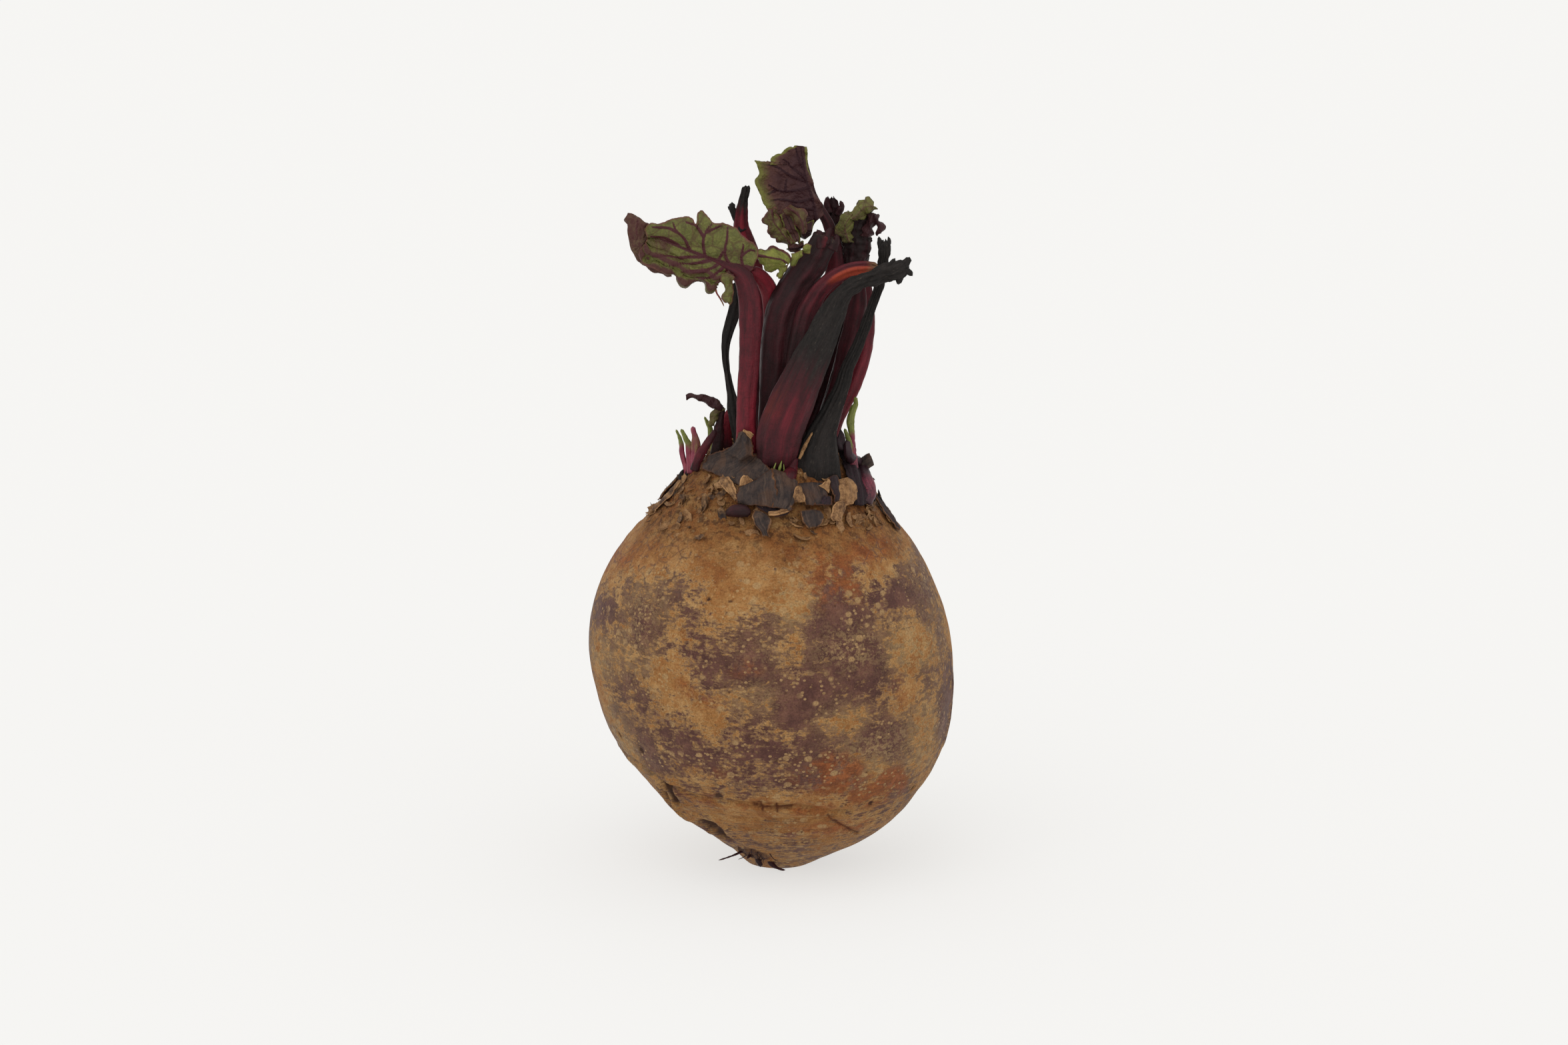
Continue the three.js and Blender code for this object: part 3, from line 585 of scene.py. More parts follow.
# %% Skin colour, relief and sheen
def skin_finish():
    look = Finish("Corky beetroot skin", specular=0.16)
    plum, rust, crown_share = look.mark("plum"), look.mark("rust"), look.mark("crown")
    crust, low_share = look.mark("crust"), look.mark("low")
    banded = look.stretch((1, 1, 1.9))
    lined = look.stretch((1, 1, 9))
    blotch = look.noise(8.5, detail=5, rough=0.6)
    streak = look.noise(3.2, banded, detail=6, rough=0.68, twist=0.5)
    fleck = look.noise(0.95, look.stretch((1, 1, 1.3)), detail=5, rough=0.7)
    speck = look.noise(0.42, detail=4, rough=0.7)
    line = look.noise(3.0, lined, detail=4, rough=0.62)
    lines = look.times(look.math("SUBTRACT", line, 0.5), look.slope(low_share, 0.1, 0.8, 0.5, 1.9))

    bareness = look.total((plum, 0.36), (crown_share, -0.5), (low_share, -0.06), (blotch, 0.95),
        (streak, 1.4), (fleck, 0.85), (speck, 0.4), (lines, 0.75), (1.0, -1.84))
    thin = look.slope(bareness, -0.12, -0.04)
    bare = look.slope(bareness, 0.02, 0.08)
    lip = look.times(look.slope(bareness, -0.24, -0.14), look.math("SUBTRACT", 1.0, thin))

    cork = look.blend(look.noise(7, detail=7, rough=0.7, twist=0.4),
        (0.34, (130, 82, 43)), (0.45, (147, 102, 57)), (0.55, (163, 120, 72)),
        (0.66, (174, 137, 90)))
    cork = look.mix(look.slope(look.noise(2.2, banded, detail=6, rough=0.68), 0.5, 0.66, 0, 0.6),
        cork, (146, 90, 44))
    cork = look.mix(look.times(lip, 0.55), cork, (172, 140, 96))
    thin_cork = look.mix(look.slope(look.noise(2.6, detail=6, rough=0.7), 0.35, 0.65),
        (110, 80, 62), (140, 108, 80))
    bare_plum = look.blend(look.noise(4, detail=6, rough=0.66),
        (0.36, (76, 47, 42)), (0.5, (90, 58, 51)), (0.66, (112, 76, 63)))
    colour = look.mix(thin, cork, thin_cork)
    colour = look.mix(bare, colour, bare_plum)

    pale = look.times(crust, look.slope(look.total((fleck, 0.8), (streak, 0.5)), 0.6, 0.74))
    colour = look.mix(look.times(pale, 0.8), colour, (168, 140, 96))
    rusty = look.times(rust,
        look.slope(look.total((look.noise(4.5, detail=6, rough=0.66), 0.8), (fleck, 0.25)), 0.4,
            0.62))
    colour = look.mix(look.slope(rusty, 0.05, 0.8, 0, 0.85), colour,
        look.mix(look.slope(streak, 0.4, 0.6), (116, 62, 34), (152, 86, 42)))

    for size, reach, chosen in ((3.1, 0.38, 0.6), (1.35, 0.36, 0.45)):
        place = look.stretch((1, 1, 1.25))
        spots = look.times(look.slope(look.cells(size, place), reach, reach - 0.12),
            look.slope(look.cells(size, place, output="Color"), chosen, chosen + 0.06))
        spots = look.times(spots, look.slope(
            look.total((look.noise(11), 1.0), (crust, 0.12)), 0.47, 0.58, 0, 0.85))
        colour = look.mix(spots, colour, (168, 136, 94))
    pricks = look.times(look.slope(look.cells(3.4), 0.13, 0.06),
        look.slope(look.cells(3.4, output="Color"), 0.5, 0.55))
    colour = look.mix(look.times(pricks, 0.7), colour, (72, 42, 26))

    threads = look.slope(look.cells(2.6, look.stretch((1, 1, 0.8)), feature="DISTANCE_TO_EDGE"),
        0.09, 0.02)
    threads = look.times(threads,
        look.slope(look.total((look.mark("net"), 1.0), (fleck, 0.8)), 0.75, 1.1))
    threads = look.times(threads, look.slope(streak, 0.42, 0.56))
    colour = look.mix(look.times(threads, 0.7), colour, (92, 70, 62))

    mottle = look.slope(look.noise(1.9, detail=6, rough=0.72), 0.46, 0.6)
    crown_dirt = look.times(crown_share, mottle)
    crown_rust = look.times(crown_share, look.slope(look.noise(5, detail=5), 0.42, 0.6, 0, 0.6))
    colour = look.mix(crown_rust, colour, (146, 88, 44))
    colour = look.mix(look.slope(crown_dirt, 0, 1, 0, 0.8), colour, (84, 54, 34))
    colour = look.mix(look.times(look.slope(line, 0.54, 0.68),
        look.slope(low_share, 0, 1, 0.2, 0.6)),
        colour, (94, 60, 40))
    colour = look.mix(look.slope(fleck, 0.57, 0.7, 0, 0.5), colour, (88, 55, 38))
    colour = look.mix(1.0, colour,
        look.blend(speck, (0.36, (214, 208, 200)), (0.6, (255, 255, 255))), "MULTIPLY")
    # Painted shade in the creases and pits, from the dark mark.
    colour = look.mix(look.slope(look.mark("dark"), 0.1, 0.6, 0, 0.92), colour, (58, 36, 28))
    colour = look.mix(look.slope(look.mark("crack"), 0.3, 1.0, 0, 0.95), colour, (74, 36, 18))
    colour = look.mix(look.slope(look.mark("tail"), 0.1, 0.7, 0, 0.9), colour,
        look.mix(mottle, (58, 36, 34), (104, 74, 52)))

    relief_fine = look.total((fleck, 0.55), (streak, 0.45), (lines, 0.6), (speck, 0.3),
        (thin, -0.2), (bare, -0.14))
    rough_crown = look.times(crown_share, look.noise(1.1, detail=6, rough=0.75))
    normal = look.bump(relief_fine, 0.4)
    normal = look.bump(rough_crown, 1.0, normal)
    sheen = look.slope(bareness, -0.1, 0.2, 0.74, 0.54)
    return look.finish(colour, normal, sheen)


root_skin = make_piece("beetroot_root", points, faces, skin_finish(), skin_marks)
settle(root_skin, "root_skin", "root")
print(f"root: {len(faces)} faces")

# %% [markdown]
# ## The leaf stalks
# A beet stalk is a solid strand, half round, with strings that stand out as ribs. Fresh ones
# are crimson and taut. As a stalk wilts it turns maroon, then black-green, and its skin sinks
# between the strings into deep folds. All of them are swept along a path: an oval section is
# carried along the route, and relief is added in the section's own plane. Each point also
# keeps where it lies on the straightened strand, so that streaks in the finish follow every
# bend, with no seam.

# %% Carry a section along a path
FRONT = (0.0, -1.0, 0.0)
TOP_SHARE = 0.98
TOP_FROM = 100.0


def unit(vectors):
    return vectors / np.linalg.norm(vectors, axis=-1, keepdims=True)


def topped(route):
    """The CAD draws the leafy part at a share of its routes' height, and so does this scene."""
    route = np.asarray(route, float).copy()
    above = np.maximum(route[:, 2] - TOP_FROM, 0)
    route[:, 2] -= above * (1 - TOP_SHARE)
    return route


def section_grid(rings, columns):
    share = np.linspace(0, 1, rings)[:, None]
    turn = np.linspace(0, 2 * math.pi, columns, endpoint=False)[None, :]
    return share, turn, np.sin(turn), np.cos(turn)


def tube(route, half, thick, rings, columns, relief=0.0, blunt=(0, 0)):
    """Points of a closed strand, and the same points on the straightened strand."""
    path = path_through(route, rings)
    ahead = unit(np.gradient(path, axis=0))
    across = unit(np.cross(ahead, FRONT))
    outward = np.cross(across, ahead)
    share, turn, side, rise = section_grid(rings, columns)
    distance = travelled(path)[:, None]
    rounding = np.ones_like(share)
    for reach, gap in ((blunt[0], distance), (blunt[1], distance[-1] - distance)):
        if reach:
            rounding = rounding * np.sqrt(1 - (1 - np.clip(gap / reach, 0.02, 1)) ** 2)
    wide = along(half, share) * rounding
    deep = along(thick, share) / 2 * rounding
    over = side * wide
    out = rise * deep
    normal = unit(np.stack([side * deep + 0 * wide, rise * wide], -1) + 1e-9)
    over = over + normal[..., 0] * relief * rounding
    out = out + normal[..., 1] * relief * rounding
    places = path[:, None] + across[:, None] * over[..., None] + outward[:, None] * out[..., None]
    own = np.stack([over, out, np.broadcast_to(distance, over.shape)], -1)
    return places, own


def closed_strand(places, own, ragged=(0.0, 0.0), sunk=(0.0, 0.0), seed=0):
    """Closes a strand's ends: `ragged` frays the rim and `sunk` hollows the middle, in mm."""
    rings, columns = places.shape[:2]
    places = places.copy()
    middles = []
    for ring, inner, index in ((0, 1, 0), (-1, -2, 1)):
        away = unit(places[ring].mean(0) - places[inner].mean(0))
        fray = wave(np.linspace(0, 9, columns), seed + index, 3) * ragged[index]
        fade = np.minimum(1, np.arange(columns) / 3) * np.minimum(1, np.arange(columns)[::-1] / 3)
        places[ring] += away * (fray * fade)[:, None]
        middles.append(places[ring].mean(0) - away * sunk[index])
    points = np.vstack([places.reshape(-1, 3), middles])
    own = np.vstack([own.reshape(-1, 3), own[0].mean(0), own[-1].mean(0)])
    return points, closed_faces(rings, columns), own


def strand_marks(marks, rings, columns):
    """Marks given on the grid, with a value for each of the two end points."""
    result = {}
    for mark, values in marks.items():
        grid = np.broadcast_to(values, (rings, columns))
        result[mark] = np.concatenate([grid.ravel(), [grid[0].mean(), grid[-1].mean()]])
    return result


# %% [markdown]
# ### The stalks' finish
# One finish serves every stalk. Marks on the points say how dark the stalk is, with painted
# shade in its grooves and on its back, how wilted it is, where it blushes bright crimson, where
# broken flesh glows orange and where an end is torn and dry. Long streaks, stretched along the
# straightened strand, break up every border between those states, because real stalks fade
# string by string.

# %% Stalk skin
def stalk_finish():
    look = Finish("Beet stalk skin", specular=0.13)
    own = look.mark("own", "Vector")
    tone, wilt, blush = look.mark("tone"), look.mark("wilt"), look.mark("blush")
    strings = look.noise(0.9, look.stretch((1, 1, 0.05), own), detail=4, rough=0.6)
    broad = look.noise(2.4, look.stretch((1, 1, 0.12), own), detail=3)
    cross = look.noise(0.45, look.stretch((0.35, 0.35, 1), own), detail=3, rough=0.6)
    grain = look.noise(0.35, look.stretch((1, 1, 0.3), own), detail=4, rough=0.7)

    mottle = look.noise(1.6, look.stretch((1, 1, 0.35), own), detail=5, rough=0.66)
    shade = look.total((tone, 1.0), (strings, 0.3), (broad, 0.35), (mottle, 0.5), (grain, 0.3),
        (1.0, -0.70))
    colour = look.blend(look.slope(shade, 0.0, 1.0),
        (0.0, (122, 35, 45)), (0.35, (94, 31, 39)), (0.7, (63, 26, 31)), (1.0, (36, 22, 23)))
    glow = look.total((blush, 1.0), (strings, 0.7), (1.0, -0.35))
    colour = look.mix(look.slope(glow, 0.3, 1.1), colour, (134, 40, 52))
    colour = look.mix(look.slope(look.total((look.mark("ember"), 1.0), (strings, 0.5),
        (1.0, -0.25)), 0.25, 0.9),
        colour, (140, 56, 38))
    wilting = look.total((wilt, 1.0), (strings, 0.55), (broad, 0.45), (1.0, -0.5))
    colour = look.mix(look.slope(wilting, 0.25, 0.75), colour,
        look.mix(look.slope(look.total((grain, 0.6), (broad, 0.5)), 0.35, 0.75), (23, 22, 21),
            (44, 39, 37)))
    colour = look.mix(look.slope(cross, 0.52, 0.75, 0, 0.3), colour, (30, 18, 18))
    scuff = look.times(look.slope(grain, 0.62, 0.72), look.slope(wilt, 0.2, 0.8, 0.1, 0.5))
    colour = look.mix(scuff, colour, (92, 84, 72))
    torn = look.total((look.mark("torn"), 1.0), (grain, 0.6), (1.0, -0.3))
    colour = look.mix(look.slope(torn, 0.35, 0.8), colour,
        look.mix(look.slope(grain, 0.35, 0.65), (78, 52, 38), (128, 96, 68)))
    normal = look.bump(look.total((strings, 0.6), (grain, 0.35), (cross, 0.3)), 0.32)
    rough = look.slope(wilting, 0.2, 0.8, 0.42, 0.66)
    return look.finish(colour, normal, rough)


STALK_SKIN = stalk_finish()

# %% [markdown]
# ### Where each stalk runs
# Each row names a CAD stalk and repeats its route. Widths run from the base to the tip, like
# the marks: tone 0 is crimson and 1 is near black, and wilt 1 is dead and black-green.

# %% The stalks
STALKS = {
    "stalk_centre": dict(
        route=[(-0.6, -12.6, 100), (0.1, -15, 106.5), (0.8, -15.8, 112), (2.8, -16, 117.4),
            (5, -16, 122.5),
            (7.3, -16, 127.7), (9.5, -16, 132.8), (11.8, -16, 138), (14.1, -16, 143.1),
            (16.2, -16, 146.4),
            (19.5, -16, 148.6), (23.5, -16, 150.1), (27.3, -16, 151.4), (30.8, -16, 152.8)],
        half=[3.2, 4.6, 5.4, 5.5, 5.3, 4.9, 4.5, 4, 3.5, 2.8, 2, 1.7, 2.2, 2.0],
        thick=[4, 6, 6.5, 6.5, 6.5, 6, 5.5, 5.2, 4.8, 4.4, 3.6, 3.2, 3.8, 3], ribs=9,
        rib_depth=0.34,
        tone=[0.75, 0.6, 0.55, 0.65, 0.8, 0.9, 0.9, 0.9],
        wilt=[0, 0, 0, 0.1, 0.35, 0.55, 0.75, 0.9, 0.95, 1, 1, 1],
        blush=[0.2, 0.5, 0.6, 0.4, 0.1, 0, 0, 0, 0], ember=[0, 0.2, 0.4, 0.3, 0, 0, 0, 0, 0],
        ember_at=-0.6,
        lump=[0.1, 0.1, 0.1, 0.15, 0.2, 0.2, 0.5, 1.1, 1.1], blunt=(4, 1.2), seed=1),
    "stalk_right_thin": dict(
        route=[(9.4, -12.2, 98), (9.5, -12.4, 102), (9.9, -12, 106), (11.2, -11.5, 111.1),
            (13.3, -11, 116.1),
            (15.4, -10.5, 121.1), (16.9, -10, 126.2), (19.1, -9.5, 131.2), (21, -9, 136.2),
            (22.7, -8.6, 141.3), (24.4, -8.2, 146.3), (25.3, -7.8, 151.4), (25.6, -7.5, 157.2)],
        half=[6.0, 5.4, 4.4, 3, 2.4, 1.85, 1.55, 1.35, 1.3, 1.15, 1.1, 1.1, 1.2, 1.6],
        thick=[5.5, 5, 4.4, 3.8, 3.4, 3, 2.6, 2.4, 2.2, 2, 1.9, 1.9, 2.1, 2.8], ribs=11,
        rib_depth=0.32,
        tone=[0.9], wilt=[0.9, 1, 1, 1, 1, 1], lump=[0.4, 0.2, 0.1, 0.1, 0.15, 0.7],
        blunt=(0, 1.2), seed=2),
    "stalk_centre_red": dict(
        route=[(4.5, -7, 102.5), (4.4, -8.6, 112), (4.8, -9.4, 123), (6, -9.8, 133),
            (7.2, -9.9, 139.5),
            (10, -10, 145.2), (13.3, -10.2, 148.4), (17, -10.6, 150.4), (20.5, -11, 151.1),
            (24, -11, 151)],
        half=[2.4, 2.6, 2.9, 3.2, 3.3, 3.1, 2.5, 2, 1.9, 1.6],
        thick=[4, 4, 4, 4, 3.8, 3.6, 3.4, 3.2, 3, 2.6],
        ribs=6, rib_depth=0.3, tone=[0.6, 0.75, 0.85, 0.8, 0.6, 0.5, 0.5],
        wilt=[0.1, 0.2, 0.35, 0.4, 0.25, 0.1, 0.1],
        lump=[0.2], ember=[0] * 9 + [0.1, 0.9, 1.2, 0.8], ember_at=0.1,
        torn=[0] * 11 + [0.05, 0.9], seed=3),
    "stalk_left": dict(
        route=[(-7, -9, 100), (-7.3, -11.5, 108), (-7.2, -12.5, 118), (-6.6, -12.5, 128),
            (-6.3, -12.3, 137),
            (-6.6, -11.8, 144.5), (-8.4, -11.4, 149.5), (-11.5, -11, 151.4), (-15, -10.8, 153.2),
            (-22, -10.6, 156.3)],
        half=[3, 2.6, 2.35, 2.35, 2.45, 2.55, 2.75, 2.6, 2, 1.2, 0.6],
        thick=[4.5, 4.4, 4.2, 4.2, 4.2, 4.2, 4, 3.6, 2.6, 1.8, 1], ribs=5, rib_depth=0.16,
        tone=[0.3, 0.3, 0.4, 0.5, 0.5, 0.55, 0.6, 0.6],
        blush=[1.1, 1.15, 0.75, 0.3, 0.1, 0.1, 0, 0],
        blush_at=0.6, wilt=[0], seed=4),
    "stalk_centre_left": dict(
        route=[(-1, -5, 102), (-1.2, -7, 110.5), (-0.4, -7.6, 122), (0.4, -7.4, 133),
            (1.6, -6.8, 140),
            (4.6, -5.8, 146), (8.2, -5, 150.8), (10.5, -4.6, 154.8), (11.8, -4.4, 158.2)],
        half=[3.4, 3.5, 3.7, 4.1, 4.3, 4.1, 3.9, 3.8, 3.2],
        thick=[4.5, 5, 5, 4.8, 4.6, 4.4, 4.4, 4.4, 3.6],
        ribs=6, rib_depth=0.42, tone=[0.65, 0.7, 0.78, 0.75, 0.72, 0.8, 0.85],
        wilt=[0, 0, 0, 0.05, 0.1, 0.2, 0.45], lump=[0.1, 0.1, 0.2, 0.6],
        blush=[0] * 7 + [0.3, 0.7], torn=[0] * 8 + [0.4], seed=5),
    "stalk_behind_left": dict(
        route=[(-2.5, -0.5, 103), (-2, -1, 112), (-1.6, -1.6, 123), (-1.3, -2.2, 133),
            (-1.3, -3.2, 140.5),
            (-2.2, -5, 145.5), (-4.3, -7, 148.6), (-6.2, -8.2, 150)],
        half=[2.2, 2.2, 2.2, 2.1, 2.1, 2.2, 2.1, 1.6],
        thick=[3.6, 3.4, 3.2, 3.2, 3.2, 3.2, 3, 2.2], ribs=5,
        rib_depth=0.15, tone=[0.6, 0.7, 0.6, 0.4, 0.2, 0.3], blush=[0, 0, 0, 0.3, 0.8, 0.7, 0.3],
        wilt=[0], seed=6),
    "stalk_right_outer": dict(
        route=[(10.5, 1.5, 98), (12.4, 2, 105.7), (14.9, 2, 112.9), (17.6, 1.8, 118.1),
            (19.4, 1.4, 123.3),
            (20.6, 1, 128.6), (21.2, 0.6, 133.8), (21.1, 0.3, 139), (20.8, 0, 144.3),
            (20.2, 0, 149)],
        half=[2.4, 2.2, 2.15, 2.2, 2.3, 2.3, 2.3, 2.1, 1.7],
        thick=[3.8, 3.6, 3.4, 3.4, 3.4, 3.2, 3, 2.6, 2.2], ribs=5, rib_depth=0.18,
        tone=[0.4, 0.35, 0.4, 0.5, 0.6], blush=[0.2, 0.3, 0.4, 0.3, 0.1], blush_at=0.5,
        wilt=[0, 0, 0, 0, 0.3], seed=7),
    "stalk_right_inner": dict(
        route=[(10, -2.5, 102), (12.8, -3.4, 113), (14.6, -3.8, 119.5), (15.9, -4, 124.6),
            (16.9, -4, 129.8),
            (18.2, -4, 135), (19.2, -3.6, 140), (19.4, -3, 146)],
        half=[2.6, 2.7, 2.7, 2.6, 2.5, 2.5, 1.9], thick=[4, 4, 4, 3.8, 3.6, 3.2, 2.4], ribs=6,
        rib_depth=0.2,
        tone=[0.6, 0.7, 0.7, 0.65, 0.7], blush=[0, 0.1, 0.3, 0.35, 0.1], wilt=[0, 0, 0, 0.2],
        seed=8),
    "stalk_top": dict(
        route=[(2.5, 2, 103), (4, 2.5, 114), (7.6, 3, 127), (11.6, 2.8, 138.5), (13.8, 2.2, 147.5),
            (13.6, 1.8, 154.5), (12, 1.5, 160.3), (9.9, 1.3, 163.9), (8.3, 1.2, 167.5),
            (7.2, 1.1, 172.5),
            (6.5, 1, 176.8)],
        half=[2.6, 2.6, 2.5, 2.5, 2.6, 2.7, 2.3, 1.6, 1.2, 0.9, 0.6],
        thick=[4, 4, 4, 4, 3.8, 3.4, 2.8, 2.2, 1.8, 1.4, 1.1], ribs=5, rib_depth=0.18,
        tone=[0.5, 0.6, 0.5, 0.5, 0.75, 0.8], blush=[0, 0, 0.1, 0.3, 0.1, 0, 0],
        wilt=[0, 0, 0, 0, 0.2, 0.2], seed=9),
    "stalk_back_right": dict(
        route=[(7, 8, 102.5), (10.5, 9, 112), (13.5, 9, 124), (16.5, 8.4, 136), (18.6, 7.4, 146),
            (20, 6.4, 155)],
        half=[2.8, 2.8, 2.8, 2.9, 3.1, 2.6], thick=[4, 4, 4, 4, 3.6, 2.8], ribs=7, rib_depth=0.3,
        tone=[0.6, 0.7, 0.8, 0.9], wilt=[0.1, 0.2, 0.4, 0.6, 0.7], lump=[0.1, 0.2, 0.4], seed=10),
    "stalk_back_left": dict(
        route=[(-4, 5, 103.5), (-4.5, 5.6, 116), (-4.9, 5.6, 130), (-5.4, 5, 141), (-6.4, 4.6, 149),
            (-7.6, 4.2, 154), (-8.4, 4, 158), (-8.5, 3.8, 161), (-8.2, 3.6, 164),
            (-7.7, 3.4, 166.5),
            (-7.4, 3.2, 168.6)],
        half=[2.4, 2.5, 2.5, 2.5, 2.5, 2.5, 2.5, 2.6, 2.7, 2.9, 2.8, 2.0, 1.3, 1.0],
        thick=[3.6, 3.6, 3.6, 3.6, 3.6, 3.5, 3.4, 3.4, 3.2, 3, 2.6, 2, 1.4], ribs=6, rib_depth=0.28,
        tone=[0.6, 0.6, 0.6, 0.55, 0.45, 0.4, 0.6], blush=[0, 0, 0, 0, 0, 0.1, 0.7, 1.0, 0.7, 0.1],
        wilt=[0.05] * 13 + [0.6, 1], lump=[0.1, 0.1, 0.2, 0.3, 0.4], seed=11),
    "stalk_ribbon": dict(
        route=[(-9.5, -4.5, 101.5), (-9.8, -5, 109), (-10.4, -5, 114.4), (-11.1, -4.8, 119.6),
            (-12.1, -4.6, 124.8), (-12.4, -4.4, 129), (-12.1, -4.2, 132), (-11.3, -3.8, 135.1),
            (-10.3, -3.4, 138.6), (-9.9, -3, 142), (-9.8, -2.6, 146)],
        half=[1, 0.7, 1.25, 1.55, 1, 0.75, 0.9, 1.3, 1.5, 1.3, 0.9],
        thick=[1.3, 1.2, 1.2, 1.1, 1.2, 1.2, 1.2, 1.2, 1],
        ribs=5, rib_depth=0.16, tone=[0.9], wilt=[0.9, 1, 1, 1, 1], seed=12),
    "stalk_tip": dict(
        route=[(11, 13.5, 99.5), (13.2, 14.2, 112), (14.6, 14.2, 127), (15, 13.4, 140),
            (14.6, 12, 151),
            (13.8, 11, 158), (13.5, 10.4, 164.2)],
        half=[1.8, 1.7, 1.5, 1.4, 1.6, 2.4, 2.2, 1.2],
        thick=[2.6, 2.4, 2.2, 2, 1.8, 1.5, 1.3, 0.8], ribs=5,
        rib_depth=0.25, tone=[0.7, 0.8, 0.8, 0.8], wilt=[0.2, 0.3, 0.2, 0.1, 0.1],
        lump=[0.1, 0.2, 0.7], seed=13),
}
RED = ("stalk_left", "stalk_centre_red", "stalk_behind_left", "stalk_right_outer",
    "stalk_right_inner",
    "stalk_top")
WILTED = ("stalk_right_thin", "stalk_ribbon", "stalk_tip")
STALK_STEP = 0.42      # mm between rings
STALK_COLUMNS = 48


def stalk(route, half, thick, ribs, rib_depth, seed, tone, wilt, blush=(0,), blush_at=0.1,
        ember=(0,), ember_at=0.0, torn=(0,), lump=(0.12,), blunt=(0, 0.8)):
    """Points, faces and marks of one stalk."""
    length = travelled(path_through(route, FINE_STEPS))[-1]
    rings = int(length / STALK_STEP)
    share, turn, side, rise = section_grid(rings, STALK_COLUMNS)
    own = tube(route, half, thick, rings, STALK_COLUMNS)[1]
    dead = along(wilt, share)
    wander = 1.6 * wave(share[:, 0] * 4, seed)[:, None]
    strings = np.cos(ribs * turn + wander + 0.8 * np.sin(2 * turn))
    folds = lumps(own, 1.5, seed, 3, (1, 1, 7))
    knobs = lumps(own, 3.2, seed + 20, 3)
    relief = (rib_depth * (0.6 * strings - 0.5 * np.abs(folds) * (1 + 1.2 * dead))
        + 0.10 * folds + along(lump, share) * 0.8 * knobs)
    places, own = tube(route, half, thick, rings, STALK_COLUMNS, relief, blunt)
    points, faces, own = closed_strand(places, own, (0, 0.9), (0, 0.5), seed)
    band = np.exp(-((side - blush_at) / 0.42) ** 2) * smooth(-0.4, 0.2, rise)
    glowing = np.exp(-((side - ember_at) / 0.62) ** 4) * smooth(-0.2, 0.4, rise)
    # The tone also carries painted shade: it is darker in the grooves between the strings and on
    # the back, turned away from the front.
    marks = strand_marks({
        "tone": along(tone, share) - 0.06 * relief / max(rib_depth, 0.1) + 0.15 * (1 - rise) / 2,
        "wilt": dead, "blush": along(blush, share) * band, "ember": along(ember, share) * glowing,
        "torn": along(torn, share)}, rings, STALK_COLUMNS)
    return points, faces, {**marks, "own": own}


for name, facts in STALKS.items():
    facts["route"] = topped(facts["route"])
    shape, joined, marks = stalk(**facts)
    piece = make_piece(name.replace("stalk", "beet_stalk"), shape, joined, STALK_SKIN, marks)
    slot = "red_stalk" if name in RED else "wilted_stalk" if name in WILTED else "purple_stalk"
    settle(piece, slot, name)
print(f"{len(STALKS)} stalks")

# %% [markdown]
# ## Leaf blades
# A blade is a thin sheet between two edges, with the midrib somewhere between them. Each sheet
# here is a grid that runs along the midrib: every row starts on the lower edge, passes through
# the midrib and ends on the upper edge. The edges are given as (x, height) pairs on the plane
# that the main view is aimed at, so a helper follows each sight line to the depth it is given.

# %% Sheets between two edges
EYE = np.array(camera.location) / MM
TARGET = np.array(aim) / MM
UPRIGHT = np.array([0, math.sin(CAMERA_RISE), math.cos(CAMERA_RISE)])


def seen(outline, depth):
    """Places at a depth (one value or one per point) on the sight lines through an outline."""
    outline = np.asarray(outline, float)
    plane = TARGET + (outline[:, :1] - TARGET[0]) * (1, 0,
        0) + (outline[:, 1:] - TARGET @ UPRIGHT) * UPRIGHT
    return EYE + (plane - EYE) * ((depth - EYE[1]) / (plane[:, 1] - EYE[1]))[:, None]


def looks_at(places):
    """The reverse: the (x, height) pair at which each place is seen."""
    gaze = TARGET - EYE
    share = (gaze @ gaze) / ((places - EYE) @ gaze)
    plane = EYE + (places - EYE) * share[..., None]
    return np.stack([plane[..., 0], plane @ UPRIGHT], -1)


def sheet(lower, middle, upper, step=0.42):
    """Grid of places through three edges, its share across (-1 lower edge, 1 upper edge)."""
    rows = max(8,
        int(max(travelled(path_through(edge, FINE_STEPS))[-1] for edge in (lower, middle, upper))
            / step))
    low, mid, high = (path_through(edge, rows) for edge in (lower, middle, upper))
    reach = max(np.linalg.norm(low - mid, axis=1).max(),
        0.3), max(np.linalg.norm(high - mid, axis=1).max(), 0.3)
    below, above = (max(4, int(length / step)) for length in reach)
    across = np.concatenate([np.linspace(-1, 0, below, endpoint=False),
        np.linspace(0, 1, above + 1)])
    share = across[None, :, None]
    grid = np.where(share < 0, mid[:, None] + (low - mid)[:, None] * -share,
        mid[:, None] + (high - mid)[:, None] * share)
    return grid, across


def hung(low, mid, high, edge_depth, middle_depth, step):
    """A free sheet, its two edges at one depth and its middle at another."""
    return sheet(seen(low, edge_depth), seen(mid, middle_depth), seen(high, edge_depth), step)


def sheet_normals(grid):
    lengthwise = np.gradient(grid, axis=0)
    crosswise = np.gradient(grid, axis=1)
    return unit(np.cross(lengthwise, crosswise) + 1e-9)


def ragged(grid, size, depth, seed):
    """Moves the two long edges in and out of the sheet, so that they look torn or toothed."""
    grid = grid.copy()
    for edge, inner in ((0, 3), (-1, -4)):
        line = travelled(grid[:, edge])
        away = unit(grid[:, edge] - grid[:, inner])
        teeth = wave(line / size, seed + edge, 3) * depth
        for fade, column in ((1.0, 0), (0.6, 1), (0.25, 2)):
            grid[:, column if edge == 0 else -1 - column] += away * (teeth * fade)[:, None]
    return grid


